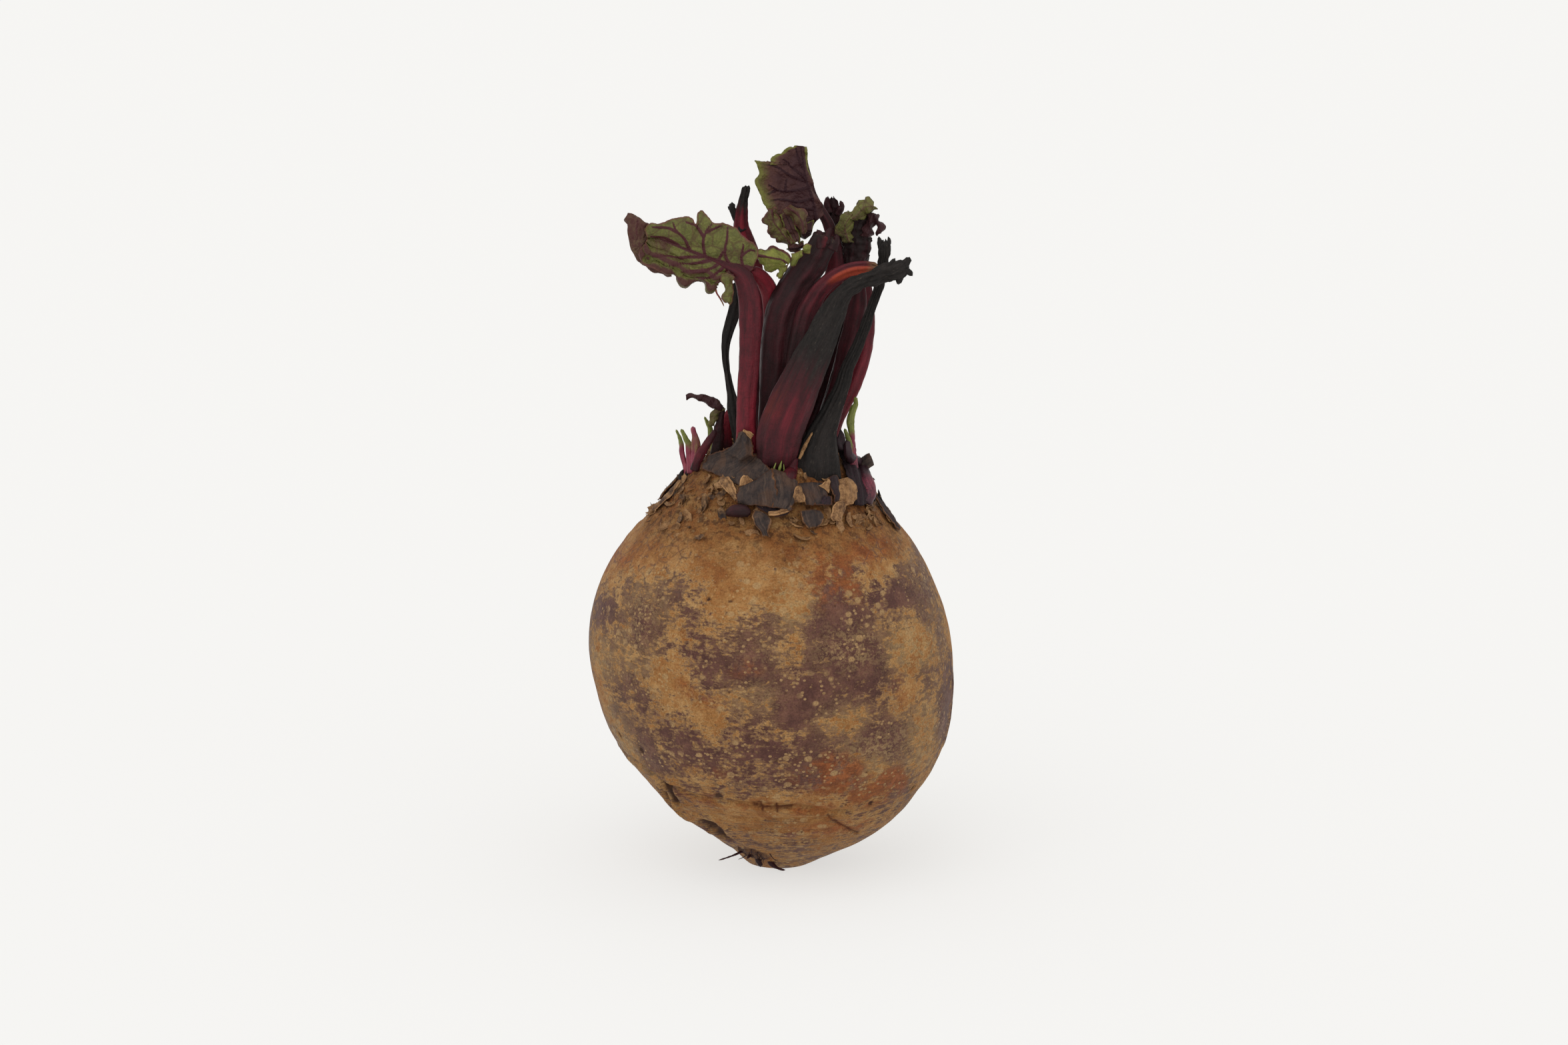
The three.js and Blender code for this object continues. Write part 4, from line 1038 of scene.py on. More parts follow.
def thickened(grid, thickness, rim=0.35):
    """A closed skin round a sheet: a front, a back and a rim that is thinner than the middle."""
    rows, columns = grid.shape[:2]
    normals = sheet_normals(grid)
    edge = np.minimum.outer(np.minimum(np.arange(rows), np.arange(rows)[::-1]) + 1,
        np.minimum(np.arange(columns), np.arange(columns)[::-1]) + 1)
    thick = np.asarray(thickness) * (rim + (1 - rim) * smooth(0, 4, edge.astype(float))) / 2
    front = grid + normals * thick[..., None]
    back = grid - normals * thick[..., None]
    count = rows * columns
    faces = np.array(grid_faces(rows, columns, False))
    index = np.arange(count).reshape(rows, columns)
    border = np.concatenate([index[0], index[1:, -1], index[-1, -2::-1], index[-2:0:-1, 0]])
    after = np.roll(border, -1)
    rim_faces = np.stack([after, border, border + count, after + count], 1)
    return (np.concatenate([front.reshape(-1, 3), back.reshape(-1, 3)]),
        np.concatenate([faces[:, ::-1], faces + count, rim_faces[:, ::-1]]).tolist())


def vein_mark(grid, veins, width):
    """1 on the veins, fading to 0 within `width`: each vein is a list of (x, height) pairs."""
    seen_at = looks_at(grid.reshape(-1, 3))
    nearest = np.full(len(seen_at), 9.0)
    for vein in veins:
        line = path_through(vein, 60)
        gap = np.linalg.norm(seen_at[:, None] - line[None], axis=2) / np.linspace(1, 0.45, 60)
        nearest = np.minimum(nearest, gap.min(1))
    return np.exp(-(nearest / width) ** 2).reshape(grid.shape[:2])


def sheet_piece(name, finish, grid, thickness, marks, seed=0):
    """Makes a sheet with its marks; `own` holds the place across and along the sheet."""
    rows, columns = grid.shape[:2]
    length = np.broadcast_to(travelled(grid.mean(1))[:, None], (rows, columns))
    width = np.concatenate([np.zeros((rows, 1)), np.cumsum(
        np.linalg.norm(np.diff(grid, axis=1), axis=2), axis=1)], 1)
    points, faces = thickened(grid, thickness)
    own = np.stack([width, np.full((rows, columns), seed * 7.0), length], -1).reshape(-1, 3)
    both = {mark: np.tile(np.broadcast_to(values, (rows, columns)).ravel(), 2) for mark,
        values in marks.items()}
    return make_piece(name, points, faces, finish, {**both, "own": np.tile(own, (2, 1))})


def joined(name, pieces):
    """Makes one piece from several sheets that belong together."""
    bpy.ops.object.select_all(action="DESELECT")
    for piece in pieces:
        piece.select_set(True)
    bpy.context.view_layer.objects.active = pieces[0]
    bpy.ops.object.join()
    pieces[0].name = name
    return pieces[0]


def blade_finish(name, flesh, deep, vein, edge, net_share, cell=3.4):
    """Leaf skin: mottled flesh, dark veins from the mark, a fine net of veins and a tinted edge."""
    look = Finish(name, roughness=0.5, specular=0.14)
    veins, shade, dry = look.mark("vein"), look.mark("shade"), look.mark("dry")
    warp = look.noise(3.0, detail=2)
    net = look.cells(cell, feature="DISTANCE_TO_EDGE")
    fine = look.cells(cell * 0.3, feature="DISTANCE_TO_EDGE")
    patch = look.noise(2.6, detail=4, rough=0.6)
    grain = look.noise(0.5, detail=4, rough=0.7)
    colour = look.mix(look.slope(look.total((patch, 0.7), (grain, 0.5), (warp, 0.3)), 0.5, 1.0),
        *flesh)
    # The shade mark turns the flesh towards the deep colour: the leaves' own maroon, and in the
    # left blade's pleats also painted shade.
    colour = look.mix(look.slope(look.total((shade, 1.0), (patch, 0.9), (1.0, -0.38)), 0.1, 0.9),
        colour, deep)
    colour = look.mix(look.slope(fine, 0.0, 0.12, net_share * 0.5, 0.0), colour, vein)
    colour = look.mix(look.slope(net, 0.0, 0.11, net_share, 0.0), colour, vein)
    colour = look.mix(look.slope(look.total((veins, 1.0), (grain, 0.35), (1.0, -0.17)), 0.18,
        0.62), colour, vein)
    colour = look.mix(look.slope(look.total((look.mark("rim"), 1.0), (grain, 0.5), (1.0, -0.25)),
        0.45, 0.95), colour, edge)
    drying = look.total((dry, 1.0), (patch, 0.8), (grain, 0.4), (1.0, -0.6))
    colour = look.mix(look.slope(drying, 0.2, 0.7), colour,
        look.mix(look.slope(grain, 0.35, 0.65), (74, 60, 48), (108, 94, 66)))
    height = look.total((look.slope(net, 0.0, 0.35), 0.8), (look.slope(fine, 0.0, 0.3), 0.25),
        (veins, 0.5), (grain, 0.15))
    return look.finish(colour, look.bump(height, 0.35), look.slope(dry, 0, 1, 0.46, 0.7))


GREEN_LEAF = blade_finish("Green beet leaf", ((108, 108, 56), (76, 77, 41)), (76, 48, 42),
    (70, 34, 38), (100, 64, 54), 0.45)
FRESH_LEAF = blade_finish("Fresh green leaf", ((126, 128, 60), (94, 98, 47)), (76, 48, 42),
    (70, 34, 38), (100, 64, 54), 0.25)
PURPLE_LEAF = blade_finish("Purple beet leaf", ((88, 58, 50), (64, 38, 38)), (56, 32, 34),
    (42, 18, 23), (100, 98, 48), 0.12)

# %% [markdown]
# ### The left blade
# Its upper half stands up and shows its face, with a purple midrib and big veins. The lower half
# is drawn into pleats that run out from the midrib. The tip has rolled over behind it, and a
# torn lobe hangs down beside the stalk.

# %% Left blade
def ruffled(grid, across, size, depth, seed, edge_from=0.35):
    """Waves that grow towards the edges and a soft pucker all over."""
    swell = smooth(edge_from, 1.0, np.abs(across))[None, :]
    line = travelled(grid.mean(1))[:, None]
    waves = np.sin(line * 2 * math.pi / size + 2.5 * wave(line[:, 0] / size, seed)[:, None] + 1.4
        * across[None, :])
    return grid + sheet_normals(grid) * (depth * swell * waves + 0.25
        * lumps(grid, 2.6, seed, 3))[..., None]


def rim_of(grid, across, depth=1.1):
    """1 at the sheet's border and 0 a little way in."""
    side = np.linalg.norm(grid[:, :, None] - grid[:, None, [0, -1]], axis=-1).min(-1)
    line = travelled(grid.mean(1))
    ends = np.minimum(line, line[-1] - line)[:, None]
    return np.clip(1 - np.minimum(side, ends + 0.2) / depth, 0, 1)


MIDRIB = [(-6, 143.6), (-9, 144.3), (-12, 145), (-15, 146), (-20, 147.9), (-24, 149.8),
    (-28, 151.2), (-31.4, 151.6)]
LEFT_VEINS = [
    [(-6, 144), (-12, 145.2), (-20, 148), (-28, 151.2)],
    [(-11.4, 145), (-12.6, 148), (-12.1, 151.2), (-11.9, 154)],
    [(-8.2, 144.6), (-8.6, 147), (-8.1, 150)],
    [(-8.6, 147.2), (-6.6, 148.6), (-5.4, 148.4)], [(-14.2, 146), (-13, 148.2), (-12.2, 148.9)],
    [(-17.3, 147), (-17.8, 150.8), (-16.9, 153.4), (-15.6, 155)],
    [(-17.7, 151.8), (-19.6, 154.4), (-22, 155.2)],
    [(-21, 148.6), (-22.4, 151.4), (-24.4, 153.4), (-25, 155)], [(-16.9, 152.9), (-13.5, 154.6)],
    [(-24, 150), (-27, 151.6), (-30.6, 152)], [(-24.2, 153), (-27, 154), (-30, 154)],
    [(-16, 146), (-20, 145.4), (-26, 145)], [(-14, 145.2), (-17, 143.6), (-23, 143.4)],
    [(-18, 146.8), (-24, 146.8), (-30, 147.2)], [(-13, 144.4), (-16, 142), (-20, 141.6)],
]
upper = [(-4.8, 146.6), (-4.9, 149), (-6.5, 151), (-8.5, 152.3), (-9.6, 153.6), (-10.6, 154.1),
    (-13, 155),
    (-15, 155.3), (-16.4, 156.6), (-18.3, 158.1), (-18.9, 156.4), (-19.6, 155.1), (-20.6, 156.3),
    (-22.5, 156.6), (-25, 155.9), (-28, 155.3), (-30.6, 154.8), (-31.8, 153.2)]
lower = [(-9.4, 142.6), (-11, 142), (-12.6, 142.6), (-13.7, 140.8), (-14.9, 140.2), (-15.5, 138.7),
    (-16.7, 138.1),
    (-17.4, 139.6), (-18.7, 140.6), (-20.3, 140.2), (-22, 139.8), (-24, 140.8), (-25.3, 142.2),
    (-27, 143.1), (-29.5, 144.2), (-31.8, 145), (-33, 146.4), (-32.2, 149.4)]
grid, across = sheet(seen(lower, -11.6), seen(MIDRIB, -11.4), seen(upper, -12.2), 0.36)
line = travelled(grid.mean(1))[:, None]
below = smooth(0.05, 0.4, -across)[None, :]
pleats = below * np.sin(across[None, :] * 17 + 0.10 * line + 2.2 * lumps(grid, 8, 41, 2))
grid = ragged(grid, 1.3, 0.32, 42)
grid = grid + sheet_normals(grid) * (0.55 * pleats)[..., None]
grid = ruffled(grid, across, 6.5, 0.7, 43)
grid[..., 1] -= 1.1 * np.sin(math.pi * np.clip(np.abs(across), 0, 1))[None, :] * smooth(2, 8, line)
# Painted shade: the valleys of the pleats are darkened through the shade mark.
painted_pleat_shade = below * smooth(0.35, 0.95, -pleats)
patchy = np.exp(-((grid[..., 0] + 27) / 2.6) ** 2 - ((grid[..., 2] - 156.5) / 2.2) ** 2)
blade = sheet_piece("left_blade", GREEN_LEAF, grid, 0.5, {
    "vein": np.maximum(vein_mark(grid, LEFT_VEINS, 0.42), vein_mark(grid, LEFT_VEINS[:1], 0.8)),
    "shade": 0.1 * below + 0.85 * painted_pleat_shade + 0.6 * patchy, "rim": rim_of(grid, across),
    "dry": 0.1 * below}, 1)

grid, across = sheet(
    seen([(-25.5, 142.3), (-27, 142.1), (-28.5, 143), (-30, 143.2), (-31.8, 144.6), (-33.6, 146),
        (-34.9, 148.2),
        (-35.8, 150.5), (-36, 153), (-36.3, 154.6), (-37.2, 155.6)], -10.6),
    seen([(-25.5, 143.4), (-28, 144.4), (-31.5, 147), (-33, 150.5), (-33.5, 153.5), (-35, 156),
        (-36.7, 156.4)], -11.3),
    seen([(-25.5, 144.5), (-27, 145.5), (-29, 147), (-30, 149), (-30, 151), (-30, 153),
        (-30.5, 154.7),
        (-32, 155.3), (-33.6, 156.7), (-34.8, 157.4), (-36, 157.2)], -10.2))
grid = ruffled(ragged(grid, 1.5, 0.2, 44), across, 5, 0.35, 45)
tip = sheet_piece("left_tip", GREEN_LEAF, grid, 0.5, {
    "vein": 0.8 * vein_mark(grid,
        [[(-31, 147), (-33.6, 151), (-34, 156)], [(-33.4, 150.6), (-35.4, 152)],
            [(-33, 149), (-31, 152.5)]], 0.35),
    "shade": 0.95, "rim": 0.6 * rim_of(grid, across), "dry": 0.35}, 2)

grid, across = sheet(
    seen([(-14, 142.6), (-13.2, 140.5), (-12.7, 138.4), (-13.3, 137), (-12.5, 135.7),
        (-11.7, 135.7)], -12.6),
    seen([(-12, 143), (-11.9, 140), (-11.8, 137.6), (-11.7, 135.6)], -13.4),
    seen([(-10.3, 142.2), (-10.7, 140.5), (-10.6, 138.5), (-10.5, 136.9), (-10.9, 135.6),
        (-11.5, 135.3)], -12.6))
grid = ruffled(ragged(grid, 1.4, 0.25, 46), across, 3.5, 0.4, 47, 0.0)
lobe = sheet_piece("left_lobe", GREEN_LEAF, grid, 0.5, {
    "vein": 0.3 * vein_mark(grid, [[(-11.8, 142.5), (-11.7, 136)]], 0.3), "shade": 0.1,
    "rim": rim_of(grid, across), "dry": 0.3}, 3)
settle(joined("left_leaf_blade", [blade, tip, lobe]), "green_blade", "leaf_left")

# %% Thin threads and other plain strands
def plain_strand(name, finish, route, half, thick=None, columns=16, step=0.35, seed=0, lump=0.06,
        ragged_end=0.15, **marks):
    """A simple closed strand whose marks are lists that run from its foot to its tip."""
    length = travelled(path_through(route, FINE_STEPS))[-1]
    rings = max(6, int(length / step))
    thick = np.atleast_1d(half) * 2 if thick is None else thick
    own = tube(route, half, thick, rings, columns)[1]
    relief = lump * (lumps(own, 1.2, seed, 3) + 0.6 * lumps(own, 0.8, seed + 3, 2, (1, 1, 6)))
    places, own = tube(route, half, thick, rings, columns, relief, (0, min(0.5, np.min(half))))
    points, faces, own = closed_strand(places, own, (0, ragged_end), (0, 0.05), seed)
    share = np.linspace(0, 1, rings)[:, None]
    grid_marks = strand_marks({mark: along(values, share) for mark, values in marks.items()},
        rings, columns)
    return make_piece(name, points, faces, finish, {**grid_marks, "own": own})


FRAYED = {   # stalk: short torn strands at its end, as route and half widths
    "stalk_centre": [([(29, -16, 152), (30.6, -16.2, 153.6), (31.4, -16.2, 154.9)],
        [1.5, 1.1, 0.5]),
        ([(28, -16, 151.4), (29, -16, 149.6), (28.7, -16, 148.3)], [1.5, 1.1, 0.5]),
        ([(26.8, -16, 151.6), (27.3, -16.2, 153.5), (27.9, -16.2, 154.6)], [1.2, 0.8, 0.3]),
        ([(29.8, -16, 151.8), (31.3, -16.3, 151.3), (32.1, -16.3, 150.4)], [1.2, 0.8, 0.4])],
    "stalk_right_thin": [([(25, -7.6, 155.4), (24.4, -7.7, 157.4), (24.2, -7.7, 158.3)],
        [0.9, 0.7, 0.3]),
        ([(26, -7.6, 155.6), (26.7, -7.7, 157.2), (26.5, -7.7, 158.1)], [0.8, 0.6, 0.3])],
    "stalk_back_left": [([(-8.6, 4, 157.4), (-9.9, 3.8, 161.2), (-10.7, 3.8, 163),
        (-10.8, 3.8, 164.4)], [1.5, 0.8, 0.9, 0.6]),
        ([(-7.8, 3.4, 165), (-7, 3.3, 167.2), (-6.7, 3.3, 168.6)], [0.8, 0.6, 0.3]),
        ([(-10.3, 3.8, 162.4), (-11.7, 3.8, 163.3)], [0.6, 0.25])],
    "stalk_centre_left": [([(10.4, -4.9, 155), (10.2, -4.9, 158), (9.6, -4.9, 159.4)],
        [1.6, 1.1, 0.4]),
        ([(13, -4.8, 154.6), (14.2, -4.8, 157), (14.2, -4.8, 158.2)], [1.5, 1.0, 0.4]),
        ([(11.8, -5, 156), (12.4, -5, 158.8), (13, -5, 160)], [1.3, 0.9, 0.3])],
    "stalk_tip": [([(12.6, 10.8, 160.6), (12, 10.6, 163), (12.3, 10.5, 164.6)], [1.1, 0.8, 0.3]),
        ([(14.6, 10.8, 160), (15.6, 10.7, 162.2), (15.3, 10.6, 163.4)], [1.0, 0.8, 0.3])],
}
for name, strands in FRAYED.items():
    dead = 0.15 if name in ("stalk_tip", "stalk_centre_left") else 1.0
    for number, (route, half) in enumerate(strands):
        strand = plain_strand(f"frayed_{name[6:]}_{number}", STALK_SKIN, topped(route), half,
            seed=31 + number,
            lump=0.22, ragged_end=0.5, tone=[0.8], wilt=[dead])
        settle(strand, "wilted_stalk" if name in WILTED else "purple_stalk")

thread = plain_strand("hanging_thread", STALK_SKIN,
    seen([(-14.9, 139.4), (-14.6, 138.2), (-13.8, 136.9),
        (-13.2, 135.8), (-12.8, 134.9)], -12.4), [0.22, 0.2, 0.17], seed=3,
    tone=[0.2], torn=[0.5, 0.7], blush=[0.2])
settle(thread, "green_blade")

# %% [markdown]
# ### The small curled leaf
# Between the left blade and the tall leaf sits a young blade that has rolled forward. It is
# yellow-green with a maroon back that shows along its top edge.

# %% Curled leaf
CURLS = [  # lower edge, middle, upper edge, depth of the edges and of the middle
    ([(-5, 146.4), (-3.7, 145.5), (-3.1, 144.1), (-1.7, 143.4), (-0.4, 143.3), (0.6, 143.8),
        (1.6, 144.3)],
        [(-5, 147.2), (-3, 147), (-1, 146.6), (1, 146.2), (2.4, 145.4)],
        [(-4.8, 148.2), (-3, 148.8), (-1.5, 149.3), (0, 149.2), (1.6, 148.6), (2.8, 147.4),
            (3.2, 146), (2.7, 144.8)],
        -9.2, -11.6),
    ([(0.1, 144), (0.6, 142.9), (-0.2, 142.2), (0.2, 141.7)],
        [(1.2, 144.6), (1.3, 143.2), (0.7, 142.2), (0.4, 141.6)],
        [(2.5, 145), (2.2, 143.5), (1.5, 142.3), (0.8, 141.6)], -9.4, -10.2),
    ([(3.1, 146.1), (3.4, 144.8), (4.4, 144.9), (5.6, 146.4), (6.2, 147)],
        [(3.5, 146.8), (4.4, 146.6), (5.4, 147.2), (6.2, 147.6)],
        [(3.6, 147.4), (4.6, 148.2), (5.6, 148.1), (6.3, 148.2)], -8.2, -9.4),
    ([(6.2, 147.6), (7, 147.4), (8, 147.8)], [(6.2, 148.6), (7.2, 148.8), (8.2, 148.8)],
        [(6.3, 149), (7.2, 150), (8.4, 149.9)], -7.8, -8.6),
]
curls = []
for number, (low, mid, high, edge_depth, middle_depth) in enumerate(CURLS):
    grid, across = hung(low, mid, high, edge_depth, middle_depth, 0.3)
    grid = ruffled(ragged(grid, 1.0, 0.2, 50 + number), across, 3.2, 0.35, 54 + number, 0.0)
    top = smooth(0.55, 0.95, across)[None, :] * (number == 0)
    shade = top * 0.9 + np.exp(-((grid[..., 0] + 1.6) / 1.0) ** 2
        - ((grid[..., 2] - 154.4) / 1.2) ** 2) * (number == 0)
    curls.append(sheet_piece(f"curl_{number}", FRESH_LEAF, grid, 0.45, {
        "vein": 0.8 * vein_mark(grid, [mid], 0.25) * (number == 0) + 0.7 * top,
        "shade": shade - 0.6,
        "rim": rim_of(grid, across, 0.8), "dry": -0.1}, 4 + number))
settle(joined("curled_leaf", curls), "green_blade", "leaf_curl")

# %% [markdown]
# ### The tall leaf and the shrivelled leaf
# The tall leaf is maroon near its midrib and olive towards its torn left edge. Its lower lobes
# curl forward and show yellow-green and orange. The leaf on the right has shrivelled: a
# wrinkled dark neck, a frilly yellow top and a black lobe that hooks over.

# %% Tall leaf
TALL_VEINS = [
    [(9.5, 155.5), (8.6, 160.5), (7, 165.5), (5.7, 173.4)],
    [(7.6, 163.6), (4.5, 163), (1, 162.8), (-2, 164.4)],
    [(6.9, 166), (4, 168.2), (1.6, 170.6)], [(7.2, 165), (3.6, 166.4), (0, 168.6), (-3.4, 169.4)],
    [(8.4, 161), (5, 160.2), (1, 160.8), (-2.6, 160.2)], [(2, 163), (2.2, 165.6)],
    [(6.3, 168.4), (5, 171), (4.6, 173.2)],
    [(9, 158.4), (6, 158.6), (3, 159.6)], [(-0.4, 163), (-2.4, 162)],
]
grid, across = sheet(
    seen([(7.5, 152), (4, 151.5), (0, 152), (-2, 153.4), (-2.3, 155.5), (-2.2, 158), (-3.4, 160),
        (-4.1, 162.3),
        (-5.3, 165), (-4.3, 167), (-4.9, 169), (-5.5, 170.3), (-3, 170.1), (-1.8, 169.3), (-1, 169),
        (-1.5, 170.4), (-0.3, 171.3), (1, 171.6), (2.2, 172.7), (3.9, 173.1), (4.3, 173.8)],
        np.interp(np.arange(21), [0, 4, 10, 20], [-0.6, -2.4, -2.6, -1.2])),
    seen([(9.5, 155.5), (9.2, 158), (8.6, 160.5), (7.8, 163), (7, 165.5), (6.3, 168), (5.8, 170.5),
        (5.6, 173.7)], -0.6),
    seen([(11.3, 157), (11.4, 159), (10, 161), (8.9, 163.4), (8.5, 165.8), (7.7, 168.6),
        (7.4, 171), (7.1, 173.6)], -0.2), 0.4)
grid = ragged(grid, 1.6, 0.22, 60)
grid = ruffled(grid, across, 9, 0.7, 61, 0.15)
left = smooth(0.45, 0.95, -across)[None, :]
creases = np.abs(lumps(grid, 3.4, 62, 3))
grid = grid + sheet_normals(grid) * (0.5 * creases)[..., None]
olive = np.clip(left + 0.5 * smooth(162, 156, grid[..., 2]) * smooth(0.1, 0.6, -across)[None, :]
    + smooth(0.4, 0.9, across)[None, :] * smooth(168, 174, grid[..., 2]), 0, 1)
tall = sheet_piece("tall_blade", PURPLE_LEAF, grid, 0.5, {
    "vein": vein_mark(grid, TALL_VEINS, 0.4),
    "shade": 0.55 - 0.5 * left + 0.3 * smooth(0.5, 0, np.abs(across))[None, :],
    "rim": 0.5 * rim_of(grid, across) + 0.75 * olive, "dry": 0.0}, 8)
LOBES = [  # lower edge, middle, upper edge, edge depth, middle depth, finish, shade, dry
    ([(-2.3, 158.6), (-2.6, 157), (-3.7, 156.2), (-3.5, 155), (-2.3, 154.4), (-2.1, 152.9),
        (-1.5, 151.6), (-0.3, 151.5),
        (0, 150.6), (1.5, 150.1), (2.8, 149.5)],
        [(-1.2, 158.4), (-1, 156), (0, 154.2), (1.2, 152.6), (2.6, 150.9), (3.4, 149.8)],
        [(-0.6, 159), (0, 157.5), (0.7, 156), (1.6, 154.4), (2.6, 153), (3.4, 151.4),
            (3.9, 150.2)], -3.2, -4.2, GREEN_LEAF, 0.35, 0.1),
    ([(1.2, 158.2), (3.3, 156.5), (4.4, 155), (5.3, 153.6), (6, 152.4)],
        [(2.4, 158.9), (4.8, 157.4), (5.9, 155.7), (6.3, 154), (6.4, 152.5)],
        [(3.2, 159.2), (5.4, 158.8), (7, 157.5), (7.3, 155.6), (7, 153.9), (6.7, 152.6)], -4.6,
        -6.4, GREEN_LEAF, 0.45, 0.0),
    ([(0.6, 157), (1.4, 155), (2.2, 153.2), (3.2, 151.6), (4.2, 150.2)],
        [(1.8, 157.6), (3, 155), (4, 152.8), (4.9, 150.6)],
        [(3.2, 157.4), (4.3, 155), (5.2, 152.8), (5.8, 150.6), (6.2, 149.4)], -3.4, -3.0,
        PURPLE_LEAF, 0.4, 0.2),
    ([(2.2, 148.5), (3.6, 148), (5.1, 148.2), (6.5, 149)],
        [(2.6, 148.9), (3.8, 148.9), (5.2, 149.2), (6.5, 149.8)],
        [(2.8, 149.4), (4, 150), (5.3, 150.3), (6.5, 150.5)], -3.2, -4.4, PURPLE_LEAF, 0.5, 0.0),
    ([(6, 151.2), (7, 151.6), (8.3, 151.9)], [(5.6, 153), (7, 153.3), (8.6, 153.4)],
        [(5.4, 155), (7, 155.4), (9, 155.6)],
        -1.6, -3.2, PURPLE_LEAF, 0.8, 0.0),
]
lobes = [tall]
for number, (low, mid, high, edge_depth, middle_depth, finish, shade, dry) in enumerate(LOBES):
    grid, across = hung(low, mid, high, edge_depth, middle_depth, 0.34)
    grid = ruffled(ragged(grid, 1.1, 0.22, 70 + number), across, 3.4, 0.4, 75 + number, 0.0)
    lobes.append(sheet_piece(f"lobe_{number}", finish, grid, 0.45, {
        "vein": 0.6 * vein_mark(grid, [mid], 0.3),
        "shade": shade + 0.5 * smooth(0.6, 1, np.abs(across))[None, :],
        "rim": rim_of(grid, across, 0.9), "dry": dry}, 10 + number))
settle(joined("tall_leaf_blade", lobes), "purple_blade", "leaf_top")

# %% Shrivelled leaf
shrivelled = [plain_strand("neck", STALK_SKIN,
    topped([(18.8, 2.6, 148), (19, 2.4, 153), (19.4, 2, 157.5), (20.4, 1.4, 162),
        (21, 1, 165.5)]), [2.4, 3.1, 3.4, 3.0, 2.0, 1.2], [3, 3.2, 3, 2.4, 1.6],
    columns=56, seed=20, lump=0.75, tone=[0.85], wilt=[0.3, 0.45, 0.35], ember=[0.1])]
SHRIVELLED = [
    ([(16.6, 150.6), (15, 151.8), (14, 153.3), (14.1, 154.6), (14.9, 155.5), (16, 157),
        (17.2, 158.1)],
        [(17.6, 150.4), (16.8, 152), (16.4, 154), (17, 155.6), (18.2, 157.2)],
        [(18.6, 150.4), (18.2, 152), (18.2, 154), (18.6, 155.6), (19.2, 157.4)], 0.2, -1.4,
        GREEN_LEAF, 0.15, 0.1, 0.3),
    ([(16, 156.6), (17.1, 158.1), (18.3, 157.9), (19.3, 159.3), (19.6, 160.6), (20.5, 160.7),
        (21.3, 160.3)],
        [(18, 156), (19.4, 157), (20.4, 158.2), (21.2, 159.2), (22, 159.6)],
        [(19.6, 155.6), (21, 156.4), (22.2, 157.4), (23, 158.4), (23.2, 159.4)], 0, -1.6,
        GREEN_LEAF, -0.1, 0.3, 0.2),
    ([(19.9, 159), (20.6, 160.6), (21.4, 160.3), (21.7, 161.4), (22.5, 160.9), (23.5, 160.3)],
        [(20.4, 158.2), (21.4, 159), (22.4, 159.2), (23.4, 159.2)],
        [(20.8, 157.4), (22.2, 157.8), (23.4, 158), (24.4, 158.5)],
        -1.0, -2.2, GREEN_LEAF, -0.6, 0.4, 0.1),
    ([(20.4, 152), (21, 154), (21.6, 156), (22, 157.6)],
        [(22, 151.6), (22.4, 154), (23, 156), (23.2, 157.6)],
        [(23, 151.8), (23.3, 153.4), (24, 155.2), (24.4, 157)], 0.4, -1.2, PURPLE_LEAF, 0.9, 0.1,
        0.0),
    ([(22.8, 156.6), (23.9, 155), (24.2, 153.6), (24.3, 152.6), (24.6, 152.2)],
        [(23.6, 157), (24.4, 155.4), (24.9, 154), (24.9, 152.5)],
        [(24.3, 157.2), (24.9, 155.6), (25.6, 155), (25.9, 153.6), (25.3, 152.6)], -0.2, -1.8,
        PURPLE_LEAF, 1.0, 0.1, 0.0),
]
for number, (low, mid, high, edge_depth, middle_depth, finish, shade, dry,
        rim) in enumerate(SHRIVELLED):
    grid, across = hung(low, mid, high, edge_depth, middle_depth, 0.34)
    grid = ruffled(ragged(grid, 1.0, 0.25, 80 + number), across, 3, 0.45, 85 + number, 0.0)
    shrivelled.append(sheet_piece(f"shrivelled_{number}", finish, grid, 0.5, {
        "vein": 0.5 * vein_mark(grid, [mid], 0.25), "shade": shade,
        "rim": rim * np.clip(0.25 + rim_of(grid, across, 1.0), 0, 1), "dry": dry}, 16 + number))
settle(joined("shrivelled_leaf_blade", shrivelled), "purple_blade", "leaf_right")
print("blades done")

# %% [markdown]
# ## The crown
# Old leaves leave papery feet on the crown. Each one is a thin sheet that hugs the skin and lifts
# at its free end. Two big ones still wrap the foot of a stalk like a skirt. The sheets are given
# by three edges, like the blades; a helper finds the skin behind each (x, height) pair, so that
# a sheet can be laid on the crown at a chosen lift.

# %% Lay places on the skin
facing_eye = np.einsum("...k,...k->...", outward, EYE - shaped) > 0
SKIN_PLACES = shaped[facing_eye]
SKIN_NORMALS = outward[facing_eye]
SKIN_SEEN = looks_at(SKIN_PLACES)


def laid(outline, lift):
    """Places over the skin behind each (x, height) pair, lifted by one value or one per point."""
    outline = np.asarray(outline, float)
    lift = np.broadcast_to(np.asarray(lift, float), len(outline))
    result = []
    for pair, rise in zip(outline, lift):
        gap = np.linalg.norm(SKIN_SEEN - pair, axis=1)
        near = np.argsort(gap)[:6]
        weight = (1 / (gap[near] + 0.05))[:, None]
        place = (SKIN_PLACES[near] * weight).sum(0) / weight.sum()
        result.append(place + SKIN_NORMALS[near].mean(0) * rise)
    return np.array(result)


# %% [markdown]
# ### Papery finish
# Dry sheath tissue is grey-brown with fine parallel nerves, darker blotches and cream or brown
# edges where it has torn. The `pale` mark turns it to cream, and `dark` to black-purple.

